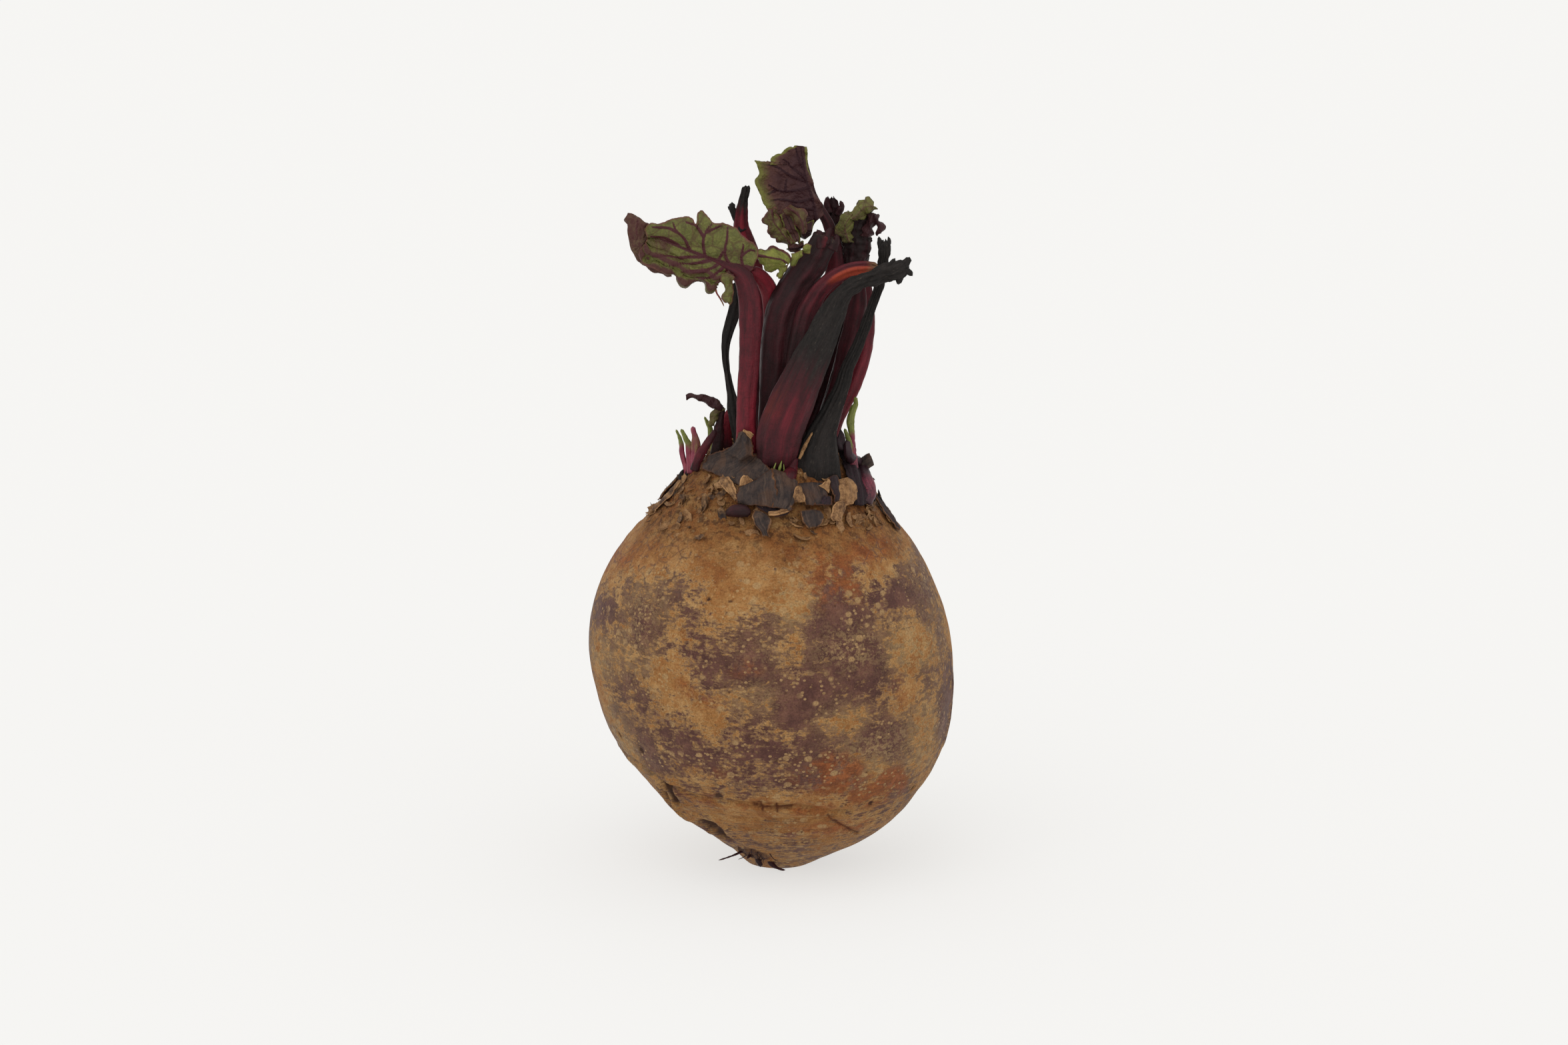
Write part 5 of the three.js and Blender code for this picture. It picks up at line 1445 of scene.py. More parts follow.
# %% Papery finish and scale shapes
def papery_finish():
    look = Finish("Dried leaf foot", roughness=0.68, specular=0.18)
    own = look.mark("own", "Vector")
    nerves = look.noise(0.55, look.stretch((1, 1, 0.07), own), detail=4, rough=0.6)
    blotch = look.noise(2.2, detail=5, rough=0.65)
    grain = look.noise(0.4, detail=5, rough=0.75)
    pale, dark, rim = look.mark("pale"), look.mark("dark"), look.mark("rim")
    broad = look.noise(6, detail=5, rough=0.6)
    colour = look.mix(look.slope(look.total((blotch, 0.7), (grain, 0.4)), 0.4, 0.75), (43, 37, 37),
        (78, 63, 56))
    colour = look.mix(look.slope(broad, 0.5, 0.64, 0, 0.5), colour, (88, 62, 46))
    colour = look.mix(look.slope(nerves, 0.5, 0.68, 0, 0.3), colour, (108, 88, 74))
    colour = look.mix(look.slope(nerves, 0.46, 0.34, 0, 0.35), colour, (28, 24, 26))
    tan = look.mix(look.slope(look.total((blotch, 0.6), (grain, 0.5)), 0.42, 0.7), (100, 68, 42),
        (164, 126, 86))
    colour = look.mix(look.slope(look.total((pale, 1.0), (blotch, 0.8), (grain, 0.3),
        (1.0, -0.55)), 0.25, 0.7), colour, tan)
    colour = look.mix(look.slope(look.total((dark, 1.0), (blotch, 0.7), (1.0, -0.35)), 0.25, 0.75),
        colour,
        look.mix(look.slope(grain, 0.4, 0.6), (30, 25, 26), (52, 36, 42)))
    edge = look.total((rim, 1.0), (grain, 0.7), (blotch, 0.4), (1.0, -0.6))
    colour = look.mix(look.slope(edge, 0.35, 0.75), colour,
        look.mix(look.slope(look.total((blotch, 0.6), (pale, 0.5)), 0.3, 0.7), (84, 52, 34),
            (176, 134, 92)))
    height = look.total((nerves, 0.6), (blotch, 0.3), (grain, 0.35))
    return look.finish(colour, look.bump(height, 0.55), look.slope(grain, 0.3, 0.7, 0.55, 0.8))


PAPERY = papery_finish()


def paper(name, low, mid, high, seed, pale=0.0, dark=0.0, thickness=0.4, curl=0.5, tear=0.35,
        rim=1.0):
    """One papery sheet between three edges of places."""
    grid, across = sheet(low, mid, high, 0.34)
    grid = ragged(grid, 1.3, tear, seed)
    ends = smooth(0, 1.6, np.minimum(*np.meshgrid(travelled(grid.mean(1)), [1e9]))[0])[:, None]
    jag = 0.6 * tear * wave(np.linspace(0, 8, grid.shape[1]), seed + 9, 3)[None, :]
    lengthwise = unit(np.gradient(grid, axis=0))
    tipward = smooth(0.8, 1.0, np.linspace(0, 1, grid.shape[0]))[:, None]
    grid = grid + lengthwise * (jag * tipward)[..., None]
    folds = 0.25 * lumps(grid, 2.2, seed + 2,
        3) + 0.18 * np.sin(across * 9 + 2 * wave(across, seed))[None, :]
    lifted = curl * smooth(0.4, 1, np.abs(across))[None, :] * lumps(grid, 3.0, seed + 5, 2)
    grid = grid + sheet_normals(grid) * ((folds + lifted) * ends)[..., None]
    return sheet_piece(name, PAPERY, grid, thickness, {
        "pale": pale, "dark": dark, "rim": rim * rim_of(grid, across, 0.8)}, seed)


# %% [markdown]
# ### The two skirts and the feet around them
# Each row gives the left edge, the middle and the right edge of a sheet, from its top or free
# end to its foot, with the lift over the skin. Collars stand free of the skin round a stalk, so
# their upper places are given a depth instead.

# %% Skirts round the stalks
def skirt(tops, depth, feet, lift):
    """Joins places that stand free at a depth to places that lie on the skin."""
    return np.vstack([seen(tops, depth), laid(feet, lift)])


skirts = [
    paper("skirt_left", skirt([(-9.3, 104.4), (-9.9, 102.6), (-11.6, 100.6)], (-13.9, -13.6, -13.2),
        [(-15.4, 97.9), (-17, 96.4), (-17.6, 95)], (1.4, 1.2, 1.0)),
        skirt([(-8, 104.9), (-8, 102), (-8.1, 98.6)], (-14.8, -15.4, -16.2),
            [(-8.4, 95.4), (-8.6, 92.6), (-8.6, 90.8)],
            (2.6, 1.8, 1.6)),
        skirt([(-6.3, 103.9), (-5.9, 101.4), (-5.5, 99)], (-14.4, -15, -16.6),
            [(-4, 97), (-2.4, 95.4), (-1, 93.8)],
            (3.2, 2.2, 1.8)), 101, pale=-0.1, curl=0.6),
    paper("frill_left", seen([(-8.2, 104.6), (-7.6, 104.2), (-6.8, 103.6), (-6.2, 103)], -15.0),
        seen([(-8.2, 104.9), (-7.5, 104.6), (-6.7, 104), (-6, 103.3)], -15.4),
        seen([(-8.1, 105.1), (-7.4, 104.9), (-6.5, 104.5), (-5.9, 103.7)], -15.0), 103, pale=1.2,
        curl=0.8, tear=0.2)]
settle(joined("left_skirt", skirts), "dried_sheath", "sheath_left")

front = [
    paper("front_upper",
        laid([(-8.8, 90), (-9, 88.8), (-9.4, 87.6), (-9.2, 86.6)], (1.8, 2.2, 2.0, 1.2)),
        laid([(-4.6, 91.6), (-4.4, 89.8), (-3.8, 87.8), (-3, 85.6)], (2.6, 3.0, 3.0, 2.2)),
        laid([(-1, 94.2), (-0.6, 91.6), (0, 88.6), (0.6, 85)], (3.2, 3.6, 3.4, 2.4)), 105,
        curl=0.5),
    paper("front_lower",
        laid([(-1.2, 94.1), (-0.8, 91.4), (-0.4, 88.4), (-1.2, 85.2)], (3.0, 3.2, 3.2, 2.6)),
        laid([(1.6, 93), (1.8, 90.4), (1.8, 87.4), (1, 84.7)], (3.4, 3.8, 3.8, 3.2)),
        laid([(4.6, 91.2), (4.4, 88.8), (3.8, 86.4), (2.8, 84.4)], (2.6, 2.8, 2.6, 2.2)), 107,
        pale=0.1, curl=0.5),
    paper("front_edge",
        laid([(-2, 83.4), (-0.4, 83.2), (1.2, 83.6), (2.6, 84.3)], (2.0, 2.6, 2.8, 2.4)),
        laid([(-2, 83.9), (-0.3, 83.8), (1.2, 84.2), (2.7, 84.7)], (2.2, 3.0, 3.2, 2.6)),
        laid([(-2, 84.4), (-0.3, 84.3), (1.1, 84.8), (2.5, 85.2)], (2.0, 2.6, 2.8, 2.4)), 109,
        pale=1.3, curl=0.3, tear=0.12),
    paper("front_shadow", laid([(-5, 86), (-2.6, 84.6), (0.4, 83.6), (2.4, 83.9)], 0.7),
        laid([(-5, 86.6), (-2.4, 85.6), (0.4, 84.8), (3, 84.8)], 1.0),
        laid([(-4.8, 87.4), (-2, 86.6), (0.6, 86), (4, 85.6)], 1.2), 111, dark=1.0, curl=0.2)]
settle(joined("front_skirt", front), "dried_sheath", "sheath_front")

right = [
    paper("skirt_right",
        skirt([(14, 104.6), (13.8, 102)], (-9.5, -9.8),
            [(14.6, 98), (16, 93), (17.4, 89), (18.6, 86.4)], (1.2, 1.4, 1.2, 0.8)),
        skirt([(14.7, 103), (14.9, 101.4)], (-10.2, -10.4),
            [(16.2, 97.4), (17.6, 92.6), (18.7, 88.8), (19.6, 86)], (2.2, 2.4, 2.2, 1.4)),
        skirt([(15.4, 105.3), (16.2, 103)], (-9, -8.8),
            [(18.2, 98.6), (19.4, 94), (20.2, 90), (20.8, 86.8)], (1.6, 1.8, 1.6, 1.0)),
        113, dark=1.1, thickness=0.6, rim=0.2),
    paper("skirt_fold",
        laid([(11.6, 92.4), (11.6, 90.6), (12.4, 88.4), (13, 86.6)], (2.0, 2.4, 2.4, 1.8)),
        laid([(12.4, 92.8), (12.6, 90.6), (13.2, 88.6), (13.5, 86.8)], (2.4, 3.0, 2.8, 2.2)),
        laid([(13.4, 93), (13.6, 91), (13.9, 89), (13.9, 87)], (2.0, 2.4, 2.2, 1.8)), 115,
        dark=0.6, thickness=0.5)]
settle(joined("right_skirt", right), "dried_sheath", "sheath_right")

# %% [markdown]
# The far side has two skirts of its own. They follow the routes of the CAD.

# %% Skirts on the far side
def back_skirt(name, angle, foot_half, collar, collar_half, seed):
    """A sheet that rises from the crown to a collar behind a stalk."""
    reach = 20.5     # from the crown's middle to the foot, in mm
    turn = math.radians(angle)
    sideways = np.array([-math.sin(turn), math.cos(turn), 0.0])
    outwards = np.array([math.cos(turn), math.sin(turn), 0.0])
    collar = np.array(collar, float)
    edges = []
    for side in (-1, 0, 1):
        swing = math.degrees(foot_half / reach) * side
        foot = crown_place(angle + swing, reach - 1.5 * abs(side), 1.0)
        heel = crown_place(angle + 0.75 * swing, reach - 4 - 1.5 * abs(side), 2.0)
        top = collar + sideways * collar_half * side - outwards * 1.4 * abs(side)
        edges.append(np.array([top, (top * 0.55 + heel * 0.45) - outwards * 0.8, heel, foot]))
    return paper(name, *edges, seed, thickness=0.5, curl=0.5)


BACK_SKIRTS = {   # angle, half width of the foot, the collar's place and half width, seed
    "back_left": (116, 8.2, (-5.6, 8.6, 109.8), 3, 117),
    "back_right": (52, 8.6, (9.2, 12, 109.4), 3.2, 119)}
for name, facts in BACK_SKIRTS.items():
    settle(back_skirt("skirt_" + name[5:], *facts), "dried_sheath", "sheath_" + name)

# %% [markdown]
# ### Scales lying on the crown
# The front scales follow their own outlines. The others are plain pointed sheets, placed by
# angle and distance from the crown's middle, as in the CAD.

# %% Front scales
FRONT_SCALES = {   # sheets of each scale: left edge, middle, right edge, lift, pale, dark
    "crown_scale_1": [
        ([(-13.6, 91.4), (-12.6, 90.4), (-11, 88.6), (-9.8, 86.9)],
            [(-12.6, 92.4), (-11.6, 91.2), (-10.4, 89.2), (-9.3, 87.3)],
            [(-11, 92.9), (-10.2, 91.6), (-9.6, 89.8), (-9.0, 87.8)], (1.4, 2.2, 2.2, 1.8), 0.55,
            0),
        ([(-14.6, 91.4), (-14.9, 90.2)], [(-12.6, 92), (-12.4, 90.4)],
            [(-10.4, 92), (-10.2, 90.6)], (1.0, 0.8), 0.7, 0)],
    "crown_scale_2": [
        ([(-8.8, 90.6), (-7.9, 92.2), (-7.2, 92.6)], [(-6.9, 90.6), (-6.5, 91.4), (-6.4, 92.3)],
            [(-4.6, 91), (-5.4, 91.5), (-6, 92)], (1.6, 2.2, 2.6), 0.8, 0)],
    "crown_scale_3": [
        ([(-5.2, 85.2), (-5.8, 83.4), (-5, 81.4), (-4, 80), (-3.4, 78.8)],
            [(-3.6, 84.6), (-3.9, 83), (-3.4, 81.4), (-2.9, 80), (-2.4, 78.5)],
            [(-2.2, 84), (-1.6, 82.8), (-1.4, 81.6), (-2.0, 80), (-1.7, 78.6)],
            (1.0, 1.6, 1.8, 1.5, 1.0), 0.2, 0)],
    "crown_scale_4": [
        ([(4.4, 91), (4.9, 89.4), (5.6, 87.6), (6.6, 86.2)],
            [(7.4, 91), (7.8, 89.4), (8.4, 87.8), (9, 86)],
            [(10.6, 91), (10.9, 89.6), (11.3, 87.8), (11.6, 86.2)], (2.2, 2.4, 2.2, 1.4), 0.15,
            0.35),
        ([(9.2, 90.2), (9.8, 90.6), (10.8, 91.2)], [(10.2, 89.4), (10.7, 90.2), (11.2, 91.2)],
            [(11.4, 88.6), (11.4, 89.8), (11.4, 91.2)], (2.6, 2.8, 2.8), 0.85, 0),
        ([(8.4, 86.2), (8.8, 87.4), (9.4, 88.2)], [(10.4, 85.8), (10.6, 87), (10.8, 88)],
            [(12.4, 86), (12.4, 87), (12, 88)], (2.0, 2.2, 2.2), 0, 0.9),
        ([(5.4, 85), (5.6, 83.4), (6.4, 81.8), (7.4, 80.8)],
            [(7.8, 85.2), (8, 83.4), (8.4, 81.8), (8.6, 80.9)],
            [(10.2, 85), (10.8, 83.4), (10.6, 82), (9.8, 81.2)], (1.0, 1.2, 1.0, 0.7), 0.2, 0.3)],
    "crown_scale_5": [
        ([(13.6, 91.8), (13.4, 90), (13.6, 88), (14.2, 86.4)],
            [(15.4, 92), (15.4, 90), (15.6, 88), (15.6, 86)],
            [(16.8, 91.6), (17.6, 90), (18.2, 88.2), (17.4, 86.6)], (2.2, 2.6, 2.2, 1.4), 0.7, 0),
        ([(13.2, 86.8), (12.8, 85), (12.6, 83.4), (13.2, 82.6)],
            [(14.6, 87), (14.4, 85), (14.2, 83.4), (14.4, 82.4)],
            [(15.8, 86.6), (15.7, 85), (15.3, 83.6), (15.4, 82.8)], (1.8, 1.4, 1.2, 0.8), 0.6, 0)],
    "crown_scale_6": [
        ([(3.8, 86.6), (3.6, 88), (4, 89.4), (4.6, 90)],
            [(4.8, 86.4), (4.8, 87.8), (4.9, 89.2), (4.9, 89.8)],
            [(6.2, 86.6), (5.9, 87.8), (5.5, 88.8), (5.1, 89.7)], (2.4, 3.0, 3.2, 3.0), 0.6, 0)],
}
for number, (name, rows) in enumerate(FRONT_SCALES.items()):
    sheets = []
    for part, (left, middle, right, lift, pale, dark) in enumerate(rows):
        edges = [laid(edge, np.array(lift) + more)
            for edge, more in ((left, 0), (middle, 0.5), (right, 0))]
        sheets.append(paper(f"{name}_{part}", *edges, 130 + 7 * number + part, pale=pale,
            dark=dark, tear=0.3))
    settle(joined("front_" + name, sheets), "pale_scale" if number in (1, 4) else "dried_sheath",
        name)

# %% Scales at the sides and on the far side
# Angle, low and high end by distance from the middle, half width, swing, lift, pale, dark.
SIDE_SCALES = {
    "crown_scale_7": (-8, 31.5, 24, 2.2, 4, 0.5, 0.1, 0.5),
    "crown_scale_8": (18, 26.5, 20, 3.4, 5, 1.4, 0.9, 0),
    "crown_scale_9": (40, 28.5, 22, 3.6, -4, 1.4, 0.2, 0),
    "crown_scale_10": (78, 27, 20.5, 3.6, 5, 1.6, 0.1, 0.2),
    "crown_scale_11": (104, 28.5, 22.5, 3.2, -4, 1.2, 0.9, 0),
    "crown_scale_12": (136, 27, 20.5, 3.8, 4, 1.4, 0.1, 0.3),
    "crown_scale_13": (160, 27.5, 21, 3.4, -5, 1.4, 0.3, 0),
    "crown_scale_14": (184, 28.5, 21.5, 1.9, 6, 0.8, 0.5, 0.2),
}


def crown_sheet(name, angle, low_end, high_end, half, swing, lift, pale, dark, seed):
    edges = []
    for side in (-1, 0, 1):
        edge = []
        for share, width, rise in ((0, 0.7, 0.3), (0.35, 1.0, 0.5), (0.75, 0.8, 0.75),
                (1, 0.3, 1.0)):
            radius = low_end + (high_end - low_end) * share
            spread = math.degrees(half * width / radius) * side
            edge.append(crown_place(angle + swing * share + spread, radius,
                0.7 + lift * rise * (1 if side == 0 else 0.7)))
        edges.append(np.array(edge))
    return paper(name, *edges, seed, pale=pale, dark=dark, curl=0.7, tear=0.6)


for number, (name, facts) in enumerate(SIDE_SCALES.items()):
    settle(crown_sheet("side_" + name, *facts, 170 + 5 * number),
        "pale_scale" if name in ("crown_scale_8", "crown_scale_11", "crown_scale_14")
        else "dried_sheath", name)

# %% [markdown]
# ### Buds, shoots and rootlets
# New shoots break out between the old feet: pink at the foot and green at the tip. The finish
# reads how far along each one is. Dark, dry ones reuse the stalk skin.

# %% Shoots
def shoot_finish():
    look = Finish("Young shoot", roughness=0.42, specular=0.3)
    own = look.mark("own", "Vector")
    strings = look.noise(0.6, look.stretch((1, 1, 0.1), own), detail=4)
    grain = look.noise(0.4, detail=4, rough=0.7)
    green, dark = look.mark("green"), look.mark("dark")
    colour = look.mix(look.slope(strings, 0.35, 0.7), (112, 40, 58), (152, 70, 84))
    leafy = look.mix(look.slope(look.total((strings, 0.6), (grain, 0.4)), 0.35, 0.65),
        (88, 94, 40), (128, 134, 66))
    colour = look.mix(look.slope(look.total((green, 1.0), (strings, 0.8), (1.0, -0.4)), 0.25,
        0.75), colour, leafy)
    colour = look.mix(look.slope(look.total((dark, 1.0), (grain, 0.7), (1.0, -0.35)), 0.25, 0.75),
        colour, (44, 24, 30))
    return look.finish(colour, look.bump(look.total((strings, 0.7), (grain, 0.3)), 0.25))


SHOOT = shoot_finish()
SHOOTS = {   # node: slot, finish, route, half widths, thickness, marks
    "shoot_left_outer": ("pink_shoot", SHOOT,
        seen([(-21.7, 93.6), (-22.1, 96), (-22.9, 99), (-23.1, 101.6), (-23.6, 103.2),
            (-24.4, 105.1)], 1.4),
        [0.75, 0.7, 0.62, 0.66, 0.5, 0.2], [1.4, 1.2, 1, 0.9, 0.6, 0.4],
        dict(green=[-0.3, -0.3, 0, 0.8, 1.2], dark=[0.2, 0, 0])),
    "shoot_left_middle": ("pink_shoot", SHOOT,
        seen([(-20.7, 94.6), (-20.9, 97), (-21.2, 99.6), (-21.4, 101.6), (-22.3, 103.4),
            (-23.2, 105.2)], -0.4),
        [1.1, 0.95, 0.85, 0.85, 0.55, 0.4], [1.8, 1.6, 1.2, 1, 0.8, 0.6],
        dict(green=[-0.3, 0, 0.3, 0.9, 1.0], dark=[0.4, 0, 0])),
    "shoot_left_inner": ("pink_shoot", SHOOT,
        seen([(-20, 95.4), (-19.9, 98), (-19.7, 100.6), (-19.7, 102.6), (-20.1, 104.4),
            (-20.4, 105.8)], -2.6),
        [0.9, 0.9, 1.0, 1.2, 0.7, 0.55], [1.6, 1.5, 1.2, 1, 0.8, 0.7],
        dict(green=[-0.2, 0.1, 0.5, 0.5, 0.2], dark=[0.6, 0.2, 0.1, 0.1, 0.3])),
    "shoot_left_dark": ("purple_stalk", STALK_SKIN,
        seen([(-20, 95.2), (-19, 98), (-17.4, 101), (-15.6, 103.6), (-14.9, 105)], -5.4),
        [1.1, 1.1, 1.1, 0.9, 0.6], [1.6, 1.6, 1.4, 1.2, 0.8],
        dict(tone=[0.8, 0.5, 0.6, 0.8], wilt=[0.4, 0, 0.2])),
    "shoot_left_red": ("red_stalk", STALK_SKIN,
        seen([(-12.2, 99), (-12.6, 103), (-12.4, 106.4), (-11.6, 109), (-10.8, 111)], 0.6),
        [1.7, 1.8, 1.6, 1.2, 0.5], [2.4, 2.2, 2, 1.6, 0.8],
        dict(tone=[0.9, 0.4, 0.2, 0.2], blush=[0, 0.4, 0.5, 0.4])),
    "shoot_back": ("red_stalk", STALK_SKIN,
        topped([(1, 15.5, 98.5), (1.6, 16.4, 104), (2.6, 16.6, 109.5), (3, 15.8, 114.5)]),
        [1.3, 1.2, 1, 0.5], [2, 1.8, 1.4, 0.8], dict(tone=[0.6, 0.3, 0.3], blush=[0, 0.4, 0.4])),
    "shoot_back_left": ("green_shoot", SHOOT,
        topped([(-15, 10.5, 96.5), (-16, 11, 101), (-16.2, 11.2, 105.6), (-17.6, 11.2, 109)]),
        [1, 0.9, 0.8, 0.3], [1.6, 1.4, 1.1, 0.6], dict(green=[0, 0.5, 1, 1.2], dark=[0.1])),
    "shoot_right_green": ("green_shoot", SHOOT,
        seen([(18.7, 94.4), (18.5, 100), (18.1, 104), (17.8, 107), (18.3, 109.6), (19.1, 111.4),
            (18.9, 113)], -2.4),
        [0.9, 0.7, 0.6, 0.7, 0.95, 0.85, 0.4], [1.6, 1.3, 1, 0.9, 0.8, 0.7, 0.5],
        dict(green=[-0.3, -0.3, 0, 0.9, 1.1, 1.2], dark=[0.6, 0.3, 0.1, 0])),
    "shoot_right_small": ("green_shoot", SHOOT,
        seen([(18.8, 95.6), (18.2, 99.6), (17.5, 102), (16.4, 105.3)], -5.2),
        [1.0, 0.9, 0.65, 0.4], [1.6, 1.4, 1, 0.6],
        dict(green=[-0.2, 0.1, 0.9, 1.1], dark=[0.6, 0.2, 0])),
    "bud_right": ("red_stalk", SHOOT,
        np.vstack([laid([(21, 86.8), (20.9, 88.8), (20, 91.6), (18.6, 95.2)], (0.7, 1.9, 1.9, 1.9)),
            seen([(17.4, 99), (16.9, 102.4)], -7.6)]),
        [1.3, 1.9, 1.7, 1.5, 1.3, 0.8], [2.4, 3.2, 2.8, 2.4, 2, 1],
        dict(green=[-0.5], dark=[0.7, 0.45, 0.9, 1, 1, 1])),
    "bud_left": ("red_stalk", STALK_SKIN,
        laid([(-11.6, 84.3), (-9.6, 84.6), (-7.6, 84.5), (-6.2, 84.2)], (0.9, 1.9, 1.9, 0.9)),
        [0.9, 1.5, 1.5, 0.9], [1.8, 2.8, 2.8, 1.6],
        dict(tone=[0.9, 0.7, 0.9, 0.9], blush=[0, 0.3, 0.1, 0])),
    "hook_right": ("wilted_stalk", STALK_SKIN,
        np.vstack([laid([(22.4, 87.8), (22.8, 89.6)], 0.9),
            seen([(22.9, 91.4), (22.7, 92.6), (23, 93.3), (23.7, 92.9)], -2.4)]),
        [0.7, 0.65, 0.5, 0.35, 0.3, 0.25], [1, 0.9, 0.7, 0.5, 0.4, 0.4],
        dict(tone=[0.9], wilt=[1])),
    "spike_right": ("wilted_stalk", STALK_SKIN,
        seen([(25.4, 86.6), (24.9, 88.6), (24.5, 90.6)], -1.2),
        [0.55, 0.4, 0.2], [0.9, 0.7, 0.4], dict(tone=[0.9], wilt=[1])),
    "rootlet_long": ("rootlet", STALK_SKIN,
        [(-8.2, -10.4, 5.3), (-9.8, -12, 5), (-11.5, -13, 4.6), (-14.2, -14, 4)],
        [0.45, 0.3, 0.2, 0.12], None, dict(tone=[0.8], torn=[0.2, 0.3, 0.4])),
    "rootlet_short": ("rootlet", STALK_SKIN,
        [(-6.2, -11.2, 5), (-6.6, -12.4, 4.7), (-7.2, -13.6, 4.3)],
        [0.5, 0.4, 0.2], None, dict(tone=[0.8], torn=[0.2, 0.3])),
    "rootlet_thick": ("rootlet", STALK_SKIN,
        [(-4.8, -10.4, 4.1), (-4.4, -11.1, 2.8), (-3.9, -11.1, 1.4)],
        [0.85, 0.75, 0.4], None, dict(tone=[0.9], torn=[0.1, 0.3])),
    "rootlet_hooked": ("rootlet", STALK_SKIN,
        [(-2.2, -10, 3.6), (-1.2, -11, 2.1), (0.2, -11.8, 1.3), (2, -12.4, 1)],
        [0.8, 0.65, 0.35, 0.2], None, dict(tone=[0.8], torn=[0.1, 0.3])),
}
for number, (name, (slot, finish, route, half, thick, marks)) in enumerate(SHOOTS.items()):
    shoot = plain_strand(name.replace("shoot", "young_shoot"), finish, route, half, thick,
        seed=30 + number,
        lump=0.12, columns=20, **marks)
    settle(shoot, slot, name)

# %% [markdown]
# The leafy shoot on the left has a dark curved leaf and a small frilled green one. The stub on
# the right is a flat end of an old stalk.

# %% Leafy shoot and stub
stem = plain_strand("leafy_stem", STALK_SKIN,
    seen([(-14.9, 97.4), (-14.4, 101), (-14, 105), (-13.4, 109), (-13, 110.6)], -2.8),
    [1.3, 1.4, 1.3, 0.9, 0.7], [1.8, 1.8, 1.5, 1.2, 0.9], seed=60, lump=0.2, tone=[0.9, 0.8, 0.8],
    wilt=[0.5, 0.3, 0.3])
grid, across = sheet(
    seen([(-13.4, 109.8), (-15.2, 110), (-17, 111.2), (-18.6, 112), (-19.8, 112.6), (-20.6, 112.7),
        (-21.9, 112.2)], -4.0),
    seen([(-13.2, 110.3), (-15, 111.2), (-17, 112.2), (-19, 112.9), (-20.6, 113.2), (-22, 113)],
        -4.7),
    seen([(-13, 110.8), (-14.3, 112.2), (-16, 113.1), (-18, 113.5), (-19.8, 113.5), (-21, 113.8),
        (-22, 113.4)], -4.0), 0.3)
grid = ruffled(ragged(grid, 1.0, 0.16, 140), across, 3.5, 0.2, 141)
arch = sheet_piece("leafy_arch", PURPLE_LEAF, grid, 0.6, {
    "vein": 0.5 * vein_mark(grid, [[(-13.2, 110.3), (-17, 112.2), (-22, 113)]], 0.25), "shade": 0.9,
    "rim": 0.3 * rim_of(grid, across), "dry": 0.15}, 21)
grid, across = sheet(
    seen([(-15.2, 110), (-16, 109), (-16.3, 107.8), (-16.6, 106.6), (-16.2, 105.9),
        (-15.5, 105.8)], -3.2),
    seen([(-14.4, 110), (-14.9, 108.8), (-15.2, 107.6), (-15.4, 106.2)], -4.0),
    seen([(-12.4, 110.4), (-13.6, 109.6), (-14.2, 108.6), (-14.8, 106.6), (-15.1, 105.8)], -3.4),
    0.3)
grid = ruffled(ragged(grid, 0.9, 0.25, 142), across, 2.6, 0.3, 143, 0.0)
leaflet = sheet_piece("leafy_leaflet", GREEN_LEAF, grid, 0.45, {
    "vein": 0.2, "shade": 0.25, "rim": 0.4 * rim_of(grid, across), "dry": 0.2}, 22)
settle(joined("leafy_shoot", [stem, arch, leaflet]), "wilted_stalk", "shoot_left_leafy")

stub = paper("stub", seen([(19.2, 96.4), (20.4, 98), (21.6, 99), (22.4, 99.3)], -0.6),
    seen([(19.6, 95.2), (21, 96.6), (22.2, 97.8), (22.9, 98.4)], -1.4),
    seen([(20.2, 93.6), (21.6, 94.8), (22.8, 96), (23.5, 96.6)], -0.6), 145, pale=0.1,
    thickness=0.9, curl=0.2, tear=0.15, rim=0.3)
settle(stub, "dried_sheath", "stub_right")
print("crown done")

# %% Fibres and small remains round the stalk feet
REMAINS = [   # slot, finish, route, half widths, marks
    ("purple_stalk", STALK_SKIN,
        np.vstack([laid([(2, 90.6), (2.5, 92.2)], (1.4, 2.2)),
            seen([(3.2, 95), (4.4, 98.6)], -14.9)]),
        [1.0, 1.8, 1.7, 0.9], dict(tone=[0.6, 0.5, 0.6], blush=[0.2])),
    ("green_shoot", SHOOT, seen([(-1, 93.8), (-0.7, 95.6), (-0.2, 97.2)], -17.6),
        [0.28, 0.3, 0.12], dict(green=[0.9], dark=[0.1])),
    ("green_shoot", SHOOT, seen([(0.2, 93.8), (0.7, 95.8), (1.2, 97.6)], -17.4), [0.3, 0.34, 0.14],
        dict(green=[0.8], dark=[0.2])),
    ("green_shoot", SHOOT, seen([(1.3, 93.4), (1.7, 95), (1.6, 96.8)], -17.2), [0.25, 0.3, 0.12],
        dict(green=[1.0], dark=[0.1])),
    ("pale_scale", PAPERY, laid([(3, 82.6), (4.3, 81.7), (6.4, 81.3)], 0.4), [0.2, 0.26, 0.1],
        dict(pale=[1.1])),
    ("pale_scale", PAPERY, seen([(5.4, 98), (6.8, 101), (8.6, 104.4)], -15.6), [0.3, 0.5, 0.2],
        dict(pale=[0.8])),
    ("wilted_stalk", STALK_SKIN, seen([(-21.2, 91.8), (-23.1, 93.4), (-22.7, 95.4)], 1.0),
        [1.2, 0.8, 0.3], dict(tone=[0.9], wilt=[0.7])),
    ("wilted_stalk", STALK_SKIN, seen([(-20.2, 92.4), (-21.5, 94.4), (-20.9, 96)], 0.4),
        [1.2, 0.8, 0.3], dict(tone=[0.9], wilt=[0.6])),
]
for number, (slot, finish, route, half, marks) in enumerate(REMAINS):
    settle(plain_strand(f"remains_{number + 1}", finish, route, half, columns=10, step=0.3,
        lump=0.12, seed=210 + number, **marks), slot)

